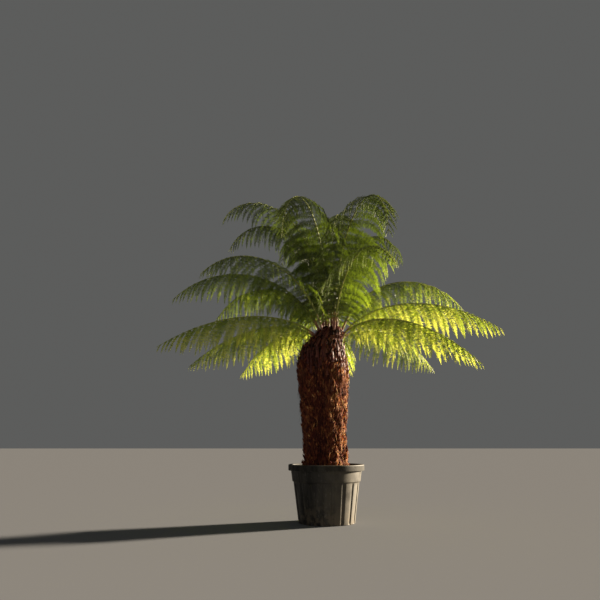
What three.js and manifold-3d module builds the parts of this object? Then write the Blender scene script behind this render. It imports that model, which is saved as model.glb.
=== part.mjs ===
// A soft tree fern growing in a large black nursery pot. One thick, shaggy trunk stands on
// the potting mix that fills the pot, and carries a crown of long fronds that rise from
// its growing tip and arch outwards. Every frond is one piece: a stalk that runs on as the
// rib, with a row of leaflets down each side, cut apart right to the rib.
//
// Millimetres, +Z up. The origin is the middle of the pot's flat underside, and -Y is the
// front. Angles round the trunk are in degrees, counted from +X towards +Y.
import * as THREE from "three";
import { mergeVertices } from "three/addons/utils/BufferGeometryUtils.js";
import Module from "manifold-3d";

const wasm = await Module();
wasm.setup();

const GAP = 0.3; // left between pieces that touch
const UP = new THREE.Vector3(0, 0, 1);
const rad = THREE.MathUtils.degToRad;
const lerp = THREE.MathUtils.lerp;

// The pot: a tapering tub with grooves down its side, a plain collar and a thick rim
const POT_HEIGHT = 475;
const POT_FOOT_RADIUS = 238;
const POT_STEP_HEIGHT = 335; // where the body steps out to the collar
const POT_STEP_RADIUS = 281;
const POT_STEP_OUT = 9;
const POT_STEP_RISE = 4; // half the height that the step takes
const POT_RIM_FOOT = 425;
const POT_COLLAR_TOP_RADIUS = 302;
const POT_RIM_RADIUS = 325;
const POT_MOUTH_RADIUS = 299;
const POT_EDGE = 6; // chamfer of the foot and of the rim
const POT_WALL = 7;
const POT_FLOOR = 10;
const POT_GROOVES = 18;
const POT_GROOVE_DEPTH = 6;
const POT_GROOVE_HALF = 2.6; // degrees from a groove's middle to its edge
const POT_FIRST_GROOVE = -41.3;
const DRAIN_HOLES = 8;
const DRAIN_HOLE_RADIUS = 11;
const DRAIN_HOLE_SIDES = 8;
const DRAIN_RING_RADIUS = 170;
const POT_INSIDE = [
  [POT_FLOOR, POT_FOOT_RADIUS - POT_WALL],
  [POT_STEP_HEIGHT - POT_STEP_RISE, POT_STEP_RADIUS - POT_WALL],
  [POT_HEIGHT - POT_EDGE, POT_MOUTH_RADIUS],
]; // heights and radii

// The potting mix, which fills the pot to a little under its rim
const MIX_LEVEL = 436;
const MIX_SAG = 7; // how far its surface drops from the trunk's foot to the pot's wall
const MIX_FLAT_RADIUS = 230; // of the flat round the trunk's foot
const MIX_CLEARANCE = 0.4;

// The trunk: height, radius and how far it has leant to +X, from its foot to its tip
const TRUNK_STATIONS = [
  [MIX_LEVEL + GAP, 206, 0],
  [520, 199, -2],
  [830, 199, -13],
  [1090, 221, -15],
  [1250, 232, -16],
  [1364, 226, -25],
  [1466, 203, -14],
  [1573, 156, 22],
  [1632, 122, 48],
  [1664, 82, 52],
];
const TRUNK_TIP_HEIGHT = 1682;
const TRUNK_SIDES = 22;
const TRUNK_RINGS = 22;
const TRUNK_ROUGHNESS = 12;
const TRUNK_RIDGES = 0.6; // the share of it that runs on up the trunk

// The stubs of old stalks, brown pegs that lie close against the top of the trunk. Their lean
// is in degrees outward.
const STUB_ROWS = [
  { count: 9, height: 1452, length: 130, lean: -9 },
  { count: 8, height: 1540, length: 120, lean: -19 },
];
const STUB_FOOT_RADIUS = 17;
const STUB_TOP_RADIUS = 10.5;
const STUB_SIDES = 5;
const STUB_SUNK = 4;
const STUB_LENGTH_PLAY = 0.18;
const STUB_PLACE_PLAY = 0.2; // of the space from one to the next

// The crown has three whorls of fronds, which rise from round the growing tip: the youngest
// stand highest and nod at their ends, and the oldest spread low. Slopes and tilts are in
// degrees. A frond takes its whorl's values, apart from its bearing and any that are its own.
const CROWN_LEAN = 52; // how far the crown's middle lies to +X
const WHORLS = [
  {
    name: "upper_frond",
    fronds: [
      { bearing: 80, bend: 3.4, length: 2060 },
      { bearing: -74, rise: 82, tipSlope: -87, bend: 1.6, length: 2110 },
      { bearing: -105, rise: 83, tipSlope: -87, bend: 1.55, length: 2145 },
      { bearing: 38 },
      { bearing: 122 },
      { bearing: 166 },
      { bearing: -157 },
    ],
    root: { radius: 64, height: 1600 }, // of a stalk's hidden end, round the crown's middle
    rise: 86, // slope at the stalk's foot
    tipSlope: -76,
    bend: 2.3, // above 1 the frond bends near its tip, below 1 near its foot
    length: 1840,
    droop: [26, 72], // of the leaflets' inner and outer halves, below level
  },
  {
    name: "middle_frond",
    fronds: [-77, 20, 61, 103, 146, -172, -138].map((bearing) => ({ bearing })),
    root: { radius: 88, height: 1585 },
    rise: 69,
    tipSlope: -48,
    bend: 1.05,
    length: 1660,
    droop: [30, 70],
  },
  {
    name: "lower_frond",
    fronds: [
      { bearing: -47, rise: 56, tipSlope: -43, bend: 0.45 },
      { bearing: -18, rise: 84, tipSlope: -38, bend: 0.46, length: 1570 },
      { bearing: 41 },
      { bearing: 83 },
      { bearing: 126 },
      { bearing: 157 },
      { bearing: -161, tipSlope: -38 },
    ],
    root: { radius: 102, height: 1540 },
    rise: 60,
    tipSlope: -36,
    bend: 0.46,
    length: 1500,
    droop: [38, 70],
  },
];
const SLOPE_PLAY = 3;
const LENGTH_PLAY = 0.03;
const SIDE_SWEEP = 8; // how far a frond's bearing turns along its length

// A frond's rib and its leaflets
const RIB_STEPS = 160;
const RIB_FOOT_WIDTH = 24;
const RIB_TIP_WIDTH = 5;
const RIB_TAPER = 0.8;
const STALK_SHARE = 0.13; // of the length, bare of leaflets
const STALK_RINGS = 3;
const PAIRS = 18;
const BARE_TIP = 0.6; // the rib beyond the last pair, in spaces
const PAIR_SPACE = (1 - STALK_SHARE) / (PAIRS + BARE_TIP); // share of the length
const LEAFLET_LENGTH = 360;
const LEAFLET_OUTLINE = { start: 0.12, span: 0.85, skew: 0.85, power: 0.8 };
const LEAFLET_WIDTH = 0.74; // of a space
const LEAFLET_ROOT_WIDTH = 0.4; // of a space
const LEAFLET_THICKNESS = 4.4;
const LEAFLET_FORWARD = [6, 56]; // how far it points onward, near the stalk and at the tip
const LEAFLET_TURN = 1.3; // above 1 it turns onward later along the frond
const LEAFLET_KNEE = 0.5; // where it is widest and bends down
const LEAFLET_STIFF = 0.35; // share of the droop that an upright rib leaves
const LEAFLET_CLEARANCE = 3;
const LEAFLET_SIZES = [1, 0.7]; // tried in turn where others are in the way

// A repeatable number from -1 to 1 for each pair of whole numbers.
function play(a, b) {
  const s = Math.sin(a * 12.9898 + b * 78.233) * 43758.5453;
  return 2 * (s - Math.floor(s)) - 1;
}

// A closed geometry as a solid, with its doubled corners merged and collapsed faces left out.
function solidOf(geometry) {
  const bare = geometry.index ? geometry.toNonIndexed() : geometry.clone();
  bare.deleteAttribute("normal");
  bare.deleteAttribute("uv");
  const merged = mergeVertices(bare, 1e-3);
  const faces = [];
  const index = merged.index.array;
  for (let i = 0; i < index.length; i += 3) {
    const [a, b, c] = [index[i], index[i + 1], index[i + 2]];
    if (a !== b && b !== c && c !== a) faces.push(a, b, c);
  }
  return new wasm.Manifold(
    new wasm.Mesh({
      numProp: 3,
      vertProperties: new Float32Array(merged.attributes.position.array),
      triVerts: new Uint32Array(faces),
    }),
  );
}

// The solid's surface as a geometry that can be shown.
function geometryOf(solid) {
  const { vertProperties, triVerts, numProp } = solid.getMesh();
  const corners = [];
  for (let i = 0; i < vertProperties.length; i += numProp) {
    corners.push(vertProperties[i], vertProperties[i + 1], vertProperties[i + 2]);
  }
  const geometry = new THREE.BufferGeometry();
  geometry.setAttribute("position", new THREE.Float32BufferAttribute(corners, 3));
  geometry.setIndex(Array.from(triVerts));
  geometry.computeVertexNormals();
  return geometry;
}

// Collects corners and faces by hand. A quad is given anticlockwise as seen from outside.
class Shell {
  corners = [];
  faces = [];

  add(point) {
    this.corners.push(point.x, point.y, point.z);
    return this.corners.length / 3 - 1;
  }

  triangle(a, b, c) {
    this.faces.push(a, b, c);
  }

  quad(a, b, c, d) {
    this.triangle(a, b, c);
    this.triangle(a, c, d);
  }

  // Joins two closed rings of corners that turn anticlockwise seen from the end ring's side.
  sleeve(start, end) {
    start.forEach((corner, i) => {
      const next = (i + 1) % start.length;
      this.quad(corner, start[next], end[next], end[i]);
    });
  }

  geometry() {
    const made = new THREE.BufferGeometry();
    made.setAttribute("position", new THREE.Float32BufferAttribute(this.corners, 3));
    made.setIndex(this.faces);
    return made;
  }
}

// The values at a height in a list of stations that starts each with its height.
function stationAt(stations, height) {
  const upper = Math.max(1, stations.findIndex(([top]) => top >= height));
  const [low, high] = [stations[upper - 1], stations[upper]];
  const share = (height - low[0]) / (high[0] - low[0]);
  return low.map((value, i) => lerp(value, high[i], share));
}

// The pot
function potOutline() {
  const inside = POT_INSIDE.map(([height, radius]) => [radius, height]).reverse();
  return [
    [0, 0],
    [POT_FOOT_RADIUS - POT_EDGE, 0],
    [POT_FOOT_RADIUS, POT_EDGE],
    [POT_STEP_RADIUS, POT_STEP_HEIGHT - POT_STEP_RISE],
    [POT_STEP_RADIUS + POT_STEP_OUT, POT_STEP_HEIGHT + POT_STEP_RISE],
    [POT_COLLAR_TOP_RADIUS, POT_RIM_FOOT],
    [POT_RIM_RADIUS - POT_EDGE, POT_RIM_FOOT],
    [POT_RIM_RADIUS, POT_RIM_FOOT + POT_EDGE],
    [POT_RIM_RADIUS, POT_HEIGHT - POT_EDGE],
    [POT_RIM_RADIUS - POT_EDGE, POT_HEIGHT],
    [POT_MOUTH_RADIUS + POT_EDGE, POT_HEIGHT],
    ...inside,
    [0, POT_FLOOR],
  ].map(([radius, height]) => new THREE.Vector2(radius, height));
}

// Turns an outline about the pot's axis with three columns to a groove: its middle, and the
// two edges of the flat panel that follows it. The middles are set back where isGrooved.
function turnedInPanels(outline, isGrooved) {
  const panel = 360 / POT_GROOVES;
  const columns = [0, POT_GROOVE_HALF, panel - POT_GROOVE_HALF];
  const total = POT_GROOVES * columns.length;
  const turned = new THREE.LatheGeometry(outline, total).rotateX(Math.PI / 2);
  const place = turned.attributes.position;
  for (let i = 0; i < place.count; i++) {
    let radius = Math.hypot(place.getX(i), place.getY(i));
    const turn = Math.atan2(place.getX(i), -place.getY(i)) / (2 * Math.PI);
    const column = (Math.round(turn * total) + total) % total;
    const inPanel = column % columns.length;
    if (inPanel === 0 && isGrooved(radius, place.getZ(i))) radius -= POT_GROOVE_DEPTH;
    const panelStart = Math.floor(column / columns.length) * panel;
    const angle = rad(POT_FIRST_GROOVE + panelStart + columns[inPanel]);
    place.setXY(i, radius * Math.cos(angle), radius * Math.sin(angle));
  }
  return solidOf(turned);
}

function potSolid() {
  let pot = turnedInPanels(potOutline(), (radius, height) => {
    const isOutside = radius > stationAt(POT_INSIDE, height)[1] + POT_WALL / 2;
    return isOutside && height > 0 && height < POT_STEP_HEIGHT;
  });
  for (let i = 0; i < DRAIN_HOLES; i++) {
    const turn = (i / DRAIN_HOLES) * 2 * Math.PI;
    const hole = new THREE.CylinderGeometry(
      DRAIN_HOLE_RADIUS,
      DRAIN_HOLE_RADIUS,
      4 * POT_FLOOR,
      DRAIN_HOLE_SIDES,
    ).rotateX(Math.PI / 2);
    hole.translate(DRAIN_RING_RADIUS * Math.cos(turn), DRAIN_RING_RADIUS * Math.sin(turn), 0);
    pot = pot.subtract(solidOf(hole));
  }
  return pot;
}

// The potting mix
function mixSolid() {
  const floor = POT_FLOOR + GAP;
  const wallTop = MIX_LEVEL - MIX_SAG;
  const side = [floor, POT_INSIDE[1][0], wallTop].map((height) => [
    stationAt(POT_INSIDE, height)[1] - MIX_CLEARANCE,
    height,
  ]);
  const outline = [[0, floor], ...side, [MIX_FLAT_RADIUS, MIX_LEVEL], [0, MIX_LEVEL]];
  const points = outline.map(([radius, height]) => new THREE.Vector2(radius, height));
  return turnedInPanels(points, () => false);
}

// The trunk. grow thickens it, for cutting the fronds' feet clear of it.
const trunkCurve = new THREE.CatmullRomCurve3(
  TRUNK_STATIONS.map(([height, radius, lean]) => new THREE.Vector3(radius, lean, height)),
);

function trunkRing(shell, row, grow) {
  const { x: radius, y: lean, z: height } = trunkCurve.getPoint(row / TRUNK_RINGS);
  const ring = [];
  for (let side = 0; side < TRUNK_SIDES; side++) {
    const turn = (side / TRUNK_SIDES) * 2 * Math.PI;
    const relief = lerp(play(side, row), play(side, TRUNK_RINGS + 1), TRUNK_RIDGES);
    const reach = radius + (row > 0 ? TRUNK_ROUGHNESS * relief : 0) + grow;
    const x = lean + reach * Math.cos(turn);
    ring.push(shell.add(new THREE.Vector3(x, reach * Math.sin(turn), height)));
  }
  return ring;
}

function trunkBody(grow) {
  const shell = new Shell();
  const [footHeight, , footLean] = TRUNK_STATIONS[0];
  const foot = shell.add(new THREE.Vector3(footLean, 0, footHeight));
  const tip = shell.add(new THREE.Vector3(CROWN_LEAN, 0, TRUNK_TIP_HEIGHT + grow));
  let below = null;
  for (let row = 0; row <= TRUNK_RINGS; row++) {
    const ring = trunkRing(shell, row, grow);
    if (below) shell.sleeve(below, ring);
    else ring.forEach((a, i) => shell.triangle(foot, ring[(i + 1) % TRUNK_SIDES], a));
    below = ring;
  }
  below.forEach((a, i) => shell.triangle(a, below[(i + 1) % TRUNK_SIDES], tip));
  return solidOf(shell.geometry());
}

function stubSolid(row, place, grow) {
  const { count, height, length, lean } = STUB_ROWS[row];
  const turn = ((place + row / 2 + STUB_PLACE_PLAY * play(place, row)) / count) * 2 * Math.PI;
  const size = 1 + STUB_LENGTH_PLAY * play(place, row + STUB_ROWS.length);
  const peg = new THREE.CylinderGeometry(
    STUB_TOP_RADIUS + grow,
    STUB_FOOT_RADIUS + grow,
    length * size + 2 * grow,
    STUB_SIDES,
  );
  const [, radius, shift] = stationAt(TRUNK_STATIONS, height);
  const reach = radius - STUB_SUNK;
  peg.rotateX(Math.PI / 2).rotateY(rad(lean)).rotateZ(turn);
  peg.translate(shift + reach * Math.cos(turn), reach * Math.sin(turn), height);
  return solidOf(peg);
}

function trunkSolid(grow = 0) {
  const stubs = STUB_ROWS.flatMap(({ count }, row) =>
    Array.from({ length: count }, (_, place) => stubSolid(row, place, grow)),
  );
  return wasm.Manifold.union([trunkBody(grow), ...stubs]);
}

// A frond's values: its whorl's, then its own, each varied a little
function frondOf(whorl, place) {
  const frond = { ...whorl, ...whorl.fronds[place] };
  const seed = place + 10 * WHORLS.indexOf(whorl);
  return {
    ...frond,
    name: `${whorl.name}_${place + 1}`,
    rise: frond.rise + SLOPE_PLAY * play(seed, 2),
    tipSlope: frond.tipSlope + SLOPE_PLAY * play(seed, 3),
    length: frond.length * (1 + LENGTH_PLAY * play(seed, 4)),
    sweep: SIDE_SWEEP * play(seed, 5),
  };
}

// The rib's middle line, with its direction, its side and its upper face at each share of
// the length. The slope falls from the rise to the tip's slope along a power curve.
function ribOf(frond) {
  const bearing = rad(frond.bearing);
  const { radius, height } = frond.root;
  const place = new THREE.Vector3(
    CROWN_LEAN + radius * Math.cos(bearing),
    radius * Math.sin(bearing),
    height,
  );
  const stations = [];
  for (let i = 0; i <= RIB_STEPS; i++) {
    const share = i / RIB_STEPS;
    const slope = rad(lerp(frond.rise, frond.tipSlope, share ** frond.bend));
    const heading = bearing + rad(frond.sweep) * share * share;
    const along = new THREE.Vector3(
      Math.cos(slope) * Math.cos(heading),
      Math.cos(slope) * Math.sin(heading),
      Math.sin(slope),
    );
    const side = new THREE.Vector3(Math.sin(heading), -Math.cos(heading), 0);
    const over = new THREE.Vector3().crossVectors(side, along);
    stations.push({ place: place.clone(), along, side, over, slope });
    place.addScaledVector(along, frond.length / RIB_STEPS);
  }
  return (share) => stations[Math.round(share * RIB_STEPS)];
}

function ribWidth(share) {
  return lerp(RIB_FOOT_WIDTH, RIB_TIP_WIDTH, share ** RIB_TAPER);
}

// How long the leaflets are, as a share of the longest, from the stalk to the tip.
function leafletShape(share) {
  const { start, span, skew, power } = LEAFLET_OUTLINE;
  return Math.sin(Math.PI * (start + span * share ** skew)) ** power;
}

// Where a pair of leaflets stands on the rib, as a share of its length.
function pairShare(pair) {
  return STALK_SHARE + PAIR_SPACE * (pair + 0.5);
}

// One leaflet: its root on the rib, its knee, where it is widest and bends down, its tip, and
// the directions across it and up through it at the knee. hand is 1 on the right, -1 left.
function leafletOf(frond, rib, pair, hand, size) {
  const { place, along, side, slope } = rib(pairShare(pair));
  const length = size * LEAFLET_LENGTH * leafletShape((pair + 0.5) / PAIRS);
  const sideways = side.clone().multiplyScalar(hand);
  const forward = rad(lerp(...LEAFLET_FORWARD, pairShare(pair) ** LEAFLET_TURN));
  const level = sideways
    .clone()
    .multiplyScalar(Math.cos(forward))
    .addScaledVector(along, Math.sin(forward));
  const hang = lerp(LEAFLET_STIFF, 1, Math.cos(slope));
  const [inner, outer] = frond.droop.map((angle) => {
    const down = rad(angle * hang);
    return level.clone().multiplyScalar(Math.cos(down)).addScaledVector(UP, -Math.sin(down));
  });
  inner.normalize();
  outer.normalize();
  const root = place.clone().addScaledVector(sideways, ribWidth(pairShare(pair)) / 2);
  const knee = root.clone().addScaledVector(inner, length * LEAFLET_KNEE);
  const tip = knee.clone().addScaledVector(outer, length * (1 - LEAFLET_KNEE));
  const across = along.clone().addScaledVector(inner, -along.dot(inner)).normalize();
  const upward = new THREE.Vector3().crossVectors(inner, across).multiplyScalar(hand);
  return { root, knee, tip, across, upward };
}

// The four corners of a leaflet's section: upper rear, upper fore, lower fore, lower rear.
function leafletCorners(shell, centre, { across, upward }, halfWidth, halfThickness) {
  return [
    [-1, 1],
    [1, 1],
    [1, -1],
    [-1, -1],
  ].map(([fore, up]) =>
    shell.add(
      centre
        .clone()
        .addScaledVector(across, fore * halfWidth)
        .addScaledVector(upward, up * halfThickness),
    ),
  );
}

// Four corners of the rib at a share of the length: upper left, upper right, lower right,
// lower left, seen looking forward to the tip.
function ribRing(shell, station, share) {
  const half = ribWidth(share) / 2;
  return [
    [-1, 1],
    [1, 1],
    [1, -1],
    [-1, -1],
  ].map(([right, up]) =>
    shell.add(
      station.place
        .clone()
        .addScaledVector(station.side, right * half)
        .addScaledVector(station.over, up * half),
    ),
  );
}

// Adds a leaflet to the side of the rib between two rings, in place of that side's face.
function addLeaflet(shell, rear, fore, frond, hand, leaflet) {
  const [upper, lower] = hand > 0 ? [1, 2] : [0, 3];
  const root = [rear[upper], fore[upper], fore[lower], rear[lower]];
  const halfWidth = (LEAFLET_WIDTH * PAIR_SPACE * frond.length) / 2;
  const knee = leafletCorners(shell, leaflet.knee, leaflet, halfWidth, LEAFLET_THICKNESS / 2);
  const tip = shell.add(leaflet.tip);
  const order = hand > 0 ? [3, 2, 1, 0] : [0, 1, 2, 3];
  order.forEach((from, i) => {
    const to = order[(i + 1) % order.length];
    shell.quad(root[from], root[to], knee[to], knee[from]);
    shell.triangle(knee[from], knee[to], tip);
  });
}

// A whole frond. sizes(pair, hand) is each leaflet's share of its full length, 0 for none.
function frondSolid(frond, rib, sizes) {
  const shell = new Shell();
  let ring = ribRing(shell, rib(0), 0);
  shell.quad(ring[3], ring[2], ring[1], ring[0]);
  for (let i = 1; i <= STALK_RINGS; i++) {
    const share = (STALK_SHARE * i) / STALK_RINGS;
    const next = ribRing(shell, rib(share), share);
    shell.sleeve(ring, next);
    ring = next;
  }
  for (let pair = 0; pair < PAIRS; pair++) {
    const [rear, fore] = [-1, 1].map((way) => {
      const share = pairShare(pair) + (way * LEAFLET_ROOT_WIDTH * PAIR_SPACE) / 2;
      return ribRing(shell, rib(share), share);
    });
    shell.sleeve(ring, rear);
    shell.quad(rear[0], rear[1], fore[1], fore[0]);
    shell.quad(rear[2], rear[3], fore[3], fore[2]);
    for (const hand of [1, -1]) {
      const size = sizes(pair, hand);
      if (size) {
        addLeaflet(shell, rear, fore, frond, hand, leafletOf(frond, rib, pair, hand, size));
      } else if (hand > 0) {
        shell.quad(rear[1], rear[2], fore[2], fore[1]);
      } else {
        shell.quad(rear[3], rear[0], fore[0], fore[3]);
      }
    }
    ring = fore;
  }
  const tip = shell.add(rib(1).place);
  ring.forEach((corner, i) => shell.triangle(corner, ring[(i + 1) % ring.length], tip));
  return solidOf(shell.geometry());
}

// One leaflet alone, thickened by the clearance that it has to keep from other fronds.
function leafletAlone(frond, rib, pair, hand, size) {
  const leaflet = leafletOf(frond, rib, pair, hand, size);
  const space = PAIR_SPACE * frond.length;
  const halfThickness = LEAFLET_THICKNESS / 2 + LEAFLET_CLEARANCE;
  const shell = new Shell();
  const [start, bend, end] = [
    [leaflet.root, (LEAFLET_ROOT_WIDTH * space) / 2],
    [leaflet.knee, (LEAFLET_WIDTH * space) / 2],
    [leaflet.tip, 0],
  ].map(([centre, width]) => {
    const halfWidth = width + LEAFLET_CLEARANCE;
    const ring = leafletCorners(shell, centre, leaflet, halfWidth, halfThickness);
    return hand > 0 ? ring.reverse() : ring;
  });
  shell.quad(start[3], start[2], start[1], start[0]);
  shell.sleeve(start, bend);
  shell.sleeve(bend, end);
  shell.quad(end[0], end[1], end[2], end[3]);
  return solidOf(shell.geometry());
}

function boxesMeet(a, b) {
  return [0, 1, 2].every((k) => a.min[k] <= b.max[k] && b.min[k] <= a.max[k]);
}

function touches(solid, others) {
  const box = solid.boundingBox();
  return others.some(
    (other) => boxesMeet(box, other.box) && !solid.intersect(other.solid).isEmpty(),
  );
}

const boxed = (solid) => ({ solid, box: solid.boundingBox() });

// All the fronds. The ribs are placed first. A leaflet that would touch the trunk, another
// frond's rib or a leaflet that is already placed is made shorter, or left off.
function crownSolids() {
  const fronds = WHORLS.flatMap((whorl) => whorl.fronds.map((_, i) => frondOf(whorl, i)));
  const ribs = fronds.map((frond) => ribOf(frond));
  const bareRibs = fronds.map((frond, i) => boxed(frondSolid(frond, ribs[i], () => 0)));
  const trunkGrown = boxed(trunkSolid(GAP));
  const placed = [];
  return fronds.map((frond, i) => {
    const inTheWay = [trunkGrown, ...bareRibs.filter((_, j) => j !== i), ...placed];
    const sizes = new Map();
    for (let pair = 0; pair < PAIRS; pair++) {
      for (const hand of [1, -1]) {
        for (const size of LEAFLET_SIZES) {
          const leaflet = leafletAlone(frond, ribs[i], pair, hand, size);
          if (touches(leaflet, inTheWay)) continue;
          sizes.set(`${pair} ${hand}`, size);
          placed.push(boxed(leaflet));
          break;
        }
      }
    }
    const whole = frondSolid(frond, ribs[i], (pair, hand) => sizes.get(`${pair} ${hand}`) ?? 0);
    return { name: frond.name, solid: whole.subtract(trunkGrown.solid) };
  });
}

// Colours and finishes
const FINISHES = {
  pot: new THREE.MeshStandardMaterial({ color: 0x24262a, roughness: 0.55, metalness: 0 }),
  mix: new THREE.MeshStandardMaterial({ color: 0x3b2a1f, roughness: 1, metalness: 0 }),
  trunk: new THREE.MeshStandardMaterial({ color: 0x7a3517, roughness: 0.95, metalness: 0 }),
  frond: new THREE.MeshStandardMaterial({ color: 0x6f9a1f, roughness: 0.6, metalness: 0 }),
};

function piece(name, solid, finish) {
  const mesh = new THREE.Mesh(geometryOf(solid), finish);
  mesh.name = name;
  return mesh;
}

const fern = new THREE.Group();
fern.add(piece("pot", potSolid(), FINISHES.pot));
fern.add(piece("potting_mix", mixSolid(), FINISHES.mix));
fern.add(piece("trunk", trunkSolid(), FINISHES.trunk));
for (const { name, solid } of crownSolids()) fern.add(piece(name, solid, FINISHES.frond));

export default fern;
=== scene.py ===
import math
import random

import bpy
import numpy as np
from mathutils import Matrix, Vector, noise


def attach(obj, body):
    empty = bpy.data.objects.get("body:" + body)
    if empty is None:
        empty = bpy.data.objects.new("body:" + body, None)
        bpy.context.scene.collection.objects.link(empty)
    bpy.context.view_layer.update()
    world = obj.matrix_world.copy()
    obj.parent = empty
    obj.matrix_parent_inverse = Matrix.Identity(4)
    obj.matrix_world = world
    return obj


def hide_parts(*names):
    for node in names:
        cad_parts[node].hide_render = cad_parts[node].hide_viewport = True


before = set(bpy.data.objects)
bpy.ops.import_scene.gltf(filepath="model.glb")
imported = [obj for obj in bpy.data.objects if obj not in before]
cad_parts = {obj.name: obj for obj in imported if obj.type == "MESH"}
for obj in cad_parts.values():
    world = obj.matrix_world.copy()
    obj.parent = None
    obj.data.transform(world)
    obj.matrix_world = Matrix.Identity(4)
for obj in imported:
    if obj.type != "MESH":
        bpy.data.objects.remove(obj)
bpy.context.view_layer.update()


# The camera stands low, a little over 5 m in front of the pot, level from side to side and
# tilted up, so that the whole plant is seen a little from below.
EYE = (-0.225, -5.35, 0.66)
TILT_UP = math.radians(13.3)
LENS = 36.06
SENSOR = 36.0


def in_scene(name, data):
    """An object that holds this data, in the scene."""
    made = bpy.data.objects.new(name, data)
    bpy.context.scene.collection.objects.link(made)
    return made


camera = in_scene("camera", bpy.data.cameras.new("camera"))
camera.data.lens = LENS
camera.data.sensor_width = SENSOR
camera.location = EYE
camera.rotation_euler = (math.pi / 2 + TILT_UP, 0, 0)
bpy.context.scene.camera = camera


# The studio: a wide pale floor, a pale surround that fills the shade, a strong warm light low
# on the right, as the late sun stands, and a large weak lamp at the front left. A see-through
# card, the flag, stands unseen between the warm light and the upper crown, and dims it.
FLOOR_REACH = 60
FLOOR_COLOUR = (0.152, 0.156, 0.168, 1)
FLOOR_ROUGHNESS = 0.9
SURROUND_COLOUR = (0.86, 0.87, 0.85, 1)
SURROUND_STRENGTH = 0.125
WARM_LIGHT_FROM = (27.9, 12.5, 7.0)  # as seen from the plant
WARM_LIGHT_ANGLE = math.radians(5.5)  # how wide it looks, which softens its shadows
WARM_LIGHT_STRENGTH = 22.6
WARM_LIGHT_COLOUR = (1, 0.86, 0.66)
SOFT_LAMP_PLACE = (-3.2, -7.5, 3.4)
SOFT_LAMP_SIZE = 4.0
SOFT_LAMP_POWER = 45
SOFT_LAMP_COLOUR = (1, 0.96, 0.90)
LAMPS_AIM = (0.1, 0, 1.5)
FLAG_SHARE = 0.13  # of the way to the warm light
FLAG_HALF_WIDTH = 3.3
FLAG_FOOT = 2.86
FLAG_TOP = 5.5
FLAG_COLOUR = (0.42, 0.43, 0.40, 1)  # what it lets through


def node(tree, kind, links=None, **settings):
    """Adds a node with its own settings, and links or sets its inputs by name or number."""
    made = tree.nodes.new(kind)
    for name, value in settings.items():
        setattr(made, name, value)
    for socket, value in (links or {}).items():
        if isinstance(value, bpy.types.NodeSocket):
            tree.links.new(value, made.inputs[socket])
        else:
            made.inputs[socket].default_value = value
    return made


def shaded(name):
    """A new material, with its tree and its Principled shader."""
    made = bpy.data.materials.new(name)
    made.use_nodes = True
    return made, made.node_tree, made.node_tree.nodes["Principled BSDF"]


def mesh_of(name, points, faces, edges=()):
    """A mesh of these points, edges and faces."""
    made = bpy.data.meshes.new(name)
    made.from_pydata(np.asarray(points).tolist(), edges, faces)
    return made


def lamp(name, kind, place, energy, colour):
    """A lamp that faces the middle of the plant."""
    light = bpy.data.lights.new(name, kind)
    light.energy = energy
    light.color = colour
    made = in_scene(name, light)
    made.location = place
    aim = Vector(LAMPS_AIM) - Vector(place)
    made.rotation_euler = aim.to_track_quat("-Z", "Y").to_euler()
    return light


floor_corners = np.array([(-1, -1, 0), (1, -1, 0), (1, 1, 0), (-1, 1, 0)]) * FLOOR_REACH
floor = in_scene("floor", mesh_of("floor", floor_corners, [(0, 1, 2, 3)]))
floor_finish, _, floor_shader = shaded("floor_paint")
floor_shader.inputs["Base Color"].default_value = FLOOR_COLOUR
floor_shader.inputs["Roughness"].default_value = FLOOR_ROUGHNESS
floor_shader.inputs["Specular IOR Level"].default_value = 0
floor.data.materials.append(floor_finish)

flag_middle = Vector(WARM_LIGHT_FROM) * FLAG_SHARE
flag_side = Vector((-flag_middle.y, flag_middle.x, 0)).normalized() * FLAG_HALF_WIDTH
flag_corners = [
    (flag_middle.x + hand * flag_side.x, flag_middle.y + hand * flag_side.y, height)
    for hand, height in ((-1, FLAG_FOOT), (1, FLAG_FOOT), (1, FLAG_TOP), (-1, FLAG_TOP))
]
flag = in_scene("flag", mesh_of("flag", flag_corners, [(0, 1, 2, 3)]))
flag_finish, flag_tree, _ = shaded("flag_gauze")
see_through = node(flag_tree, "ShaderNodeBsdfTransparent", {"Color": FLAG_COLOUR})
flag_tree.links.new(see_through.outputs[0], flag_tree.nodes["Material Output"].inputs["Surface"])
flag.data.materials.append(flag_finish)
for ray in ("camera", "diffuse", "glossy", "transmission"):
    setattr(flag, "visible_" + ray, False)

surround = bpy.data.worlds.new("surround")
surround.use_nodes = True
backdrop = surround.node_tree.nodes["Background"].inputs
backdrop["Color"].default_value = SURROUND_COLOUR
backdrop["Strength"].default_value = SURROUND_STRENGTH
bpy.context.scene.world = surround
bpy.context.scene.view_settings.view_transform = "Standard"
warm_place = Vector(LAMPS_AIM) + Vector(WARM_LIGHT_FROM)
warm_light = lamp("warm_light", "SUN", warm_place, WARM_LIGHT_STRENGTH, WARM_LIGHT_COLOUR)
warm_light.angle = WARM_LIGHT_ANGLE
soft_lamp = lamp("soft_lamp", "AREA", SOFT_LAMP_PLACE, SOFT_LAMP_POWER, SOFT_LAMP_COLOUR)
soft_lamp.size = SOFT_LAMP_SIZE


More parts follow.
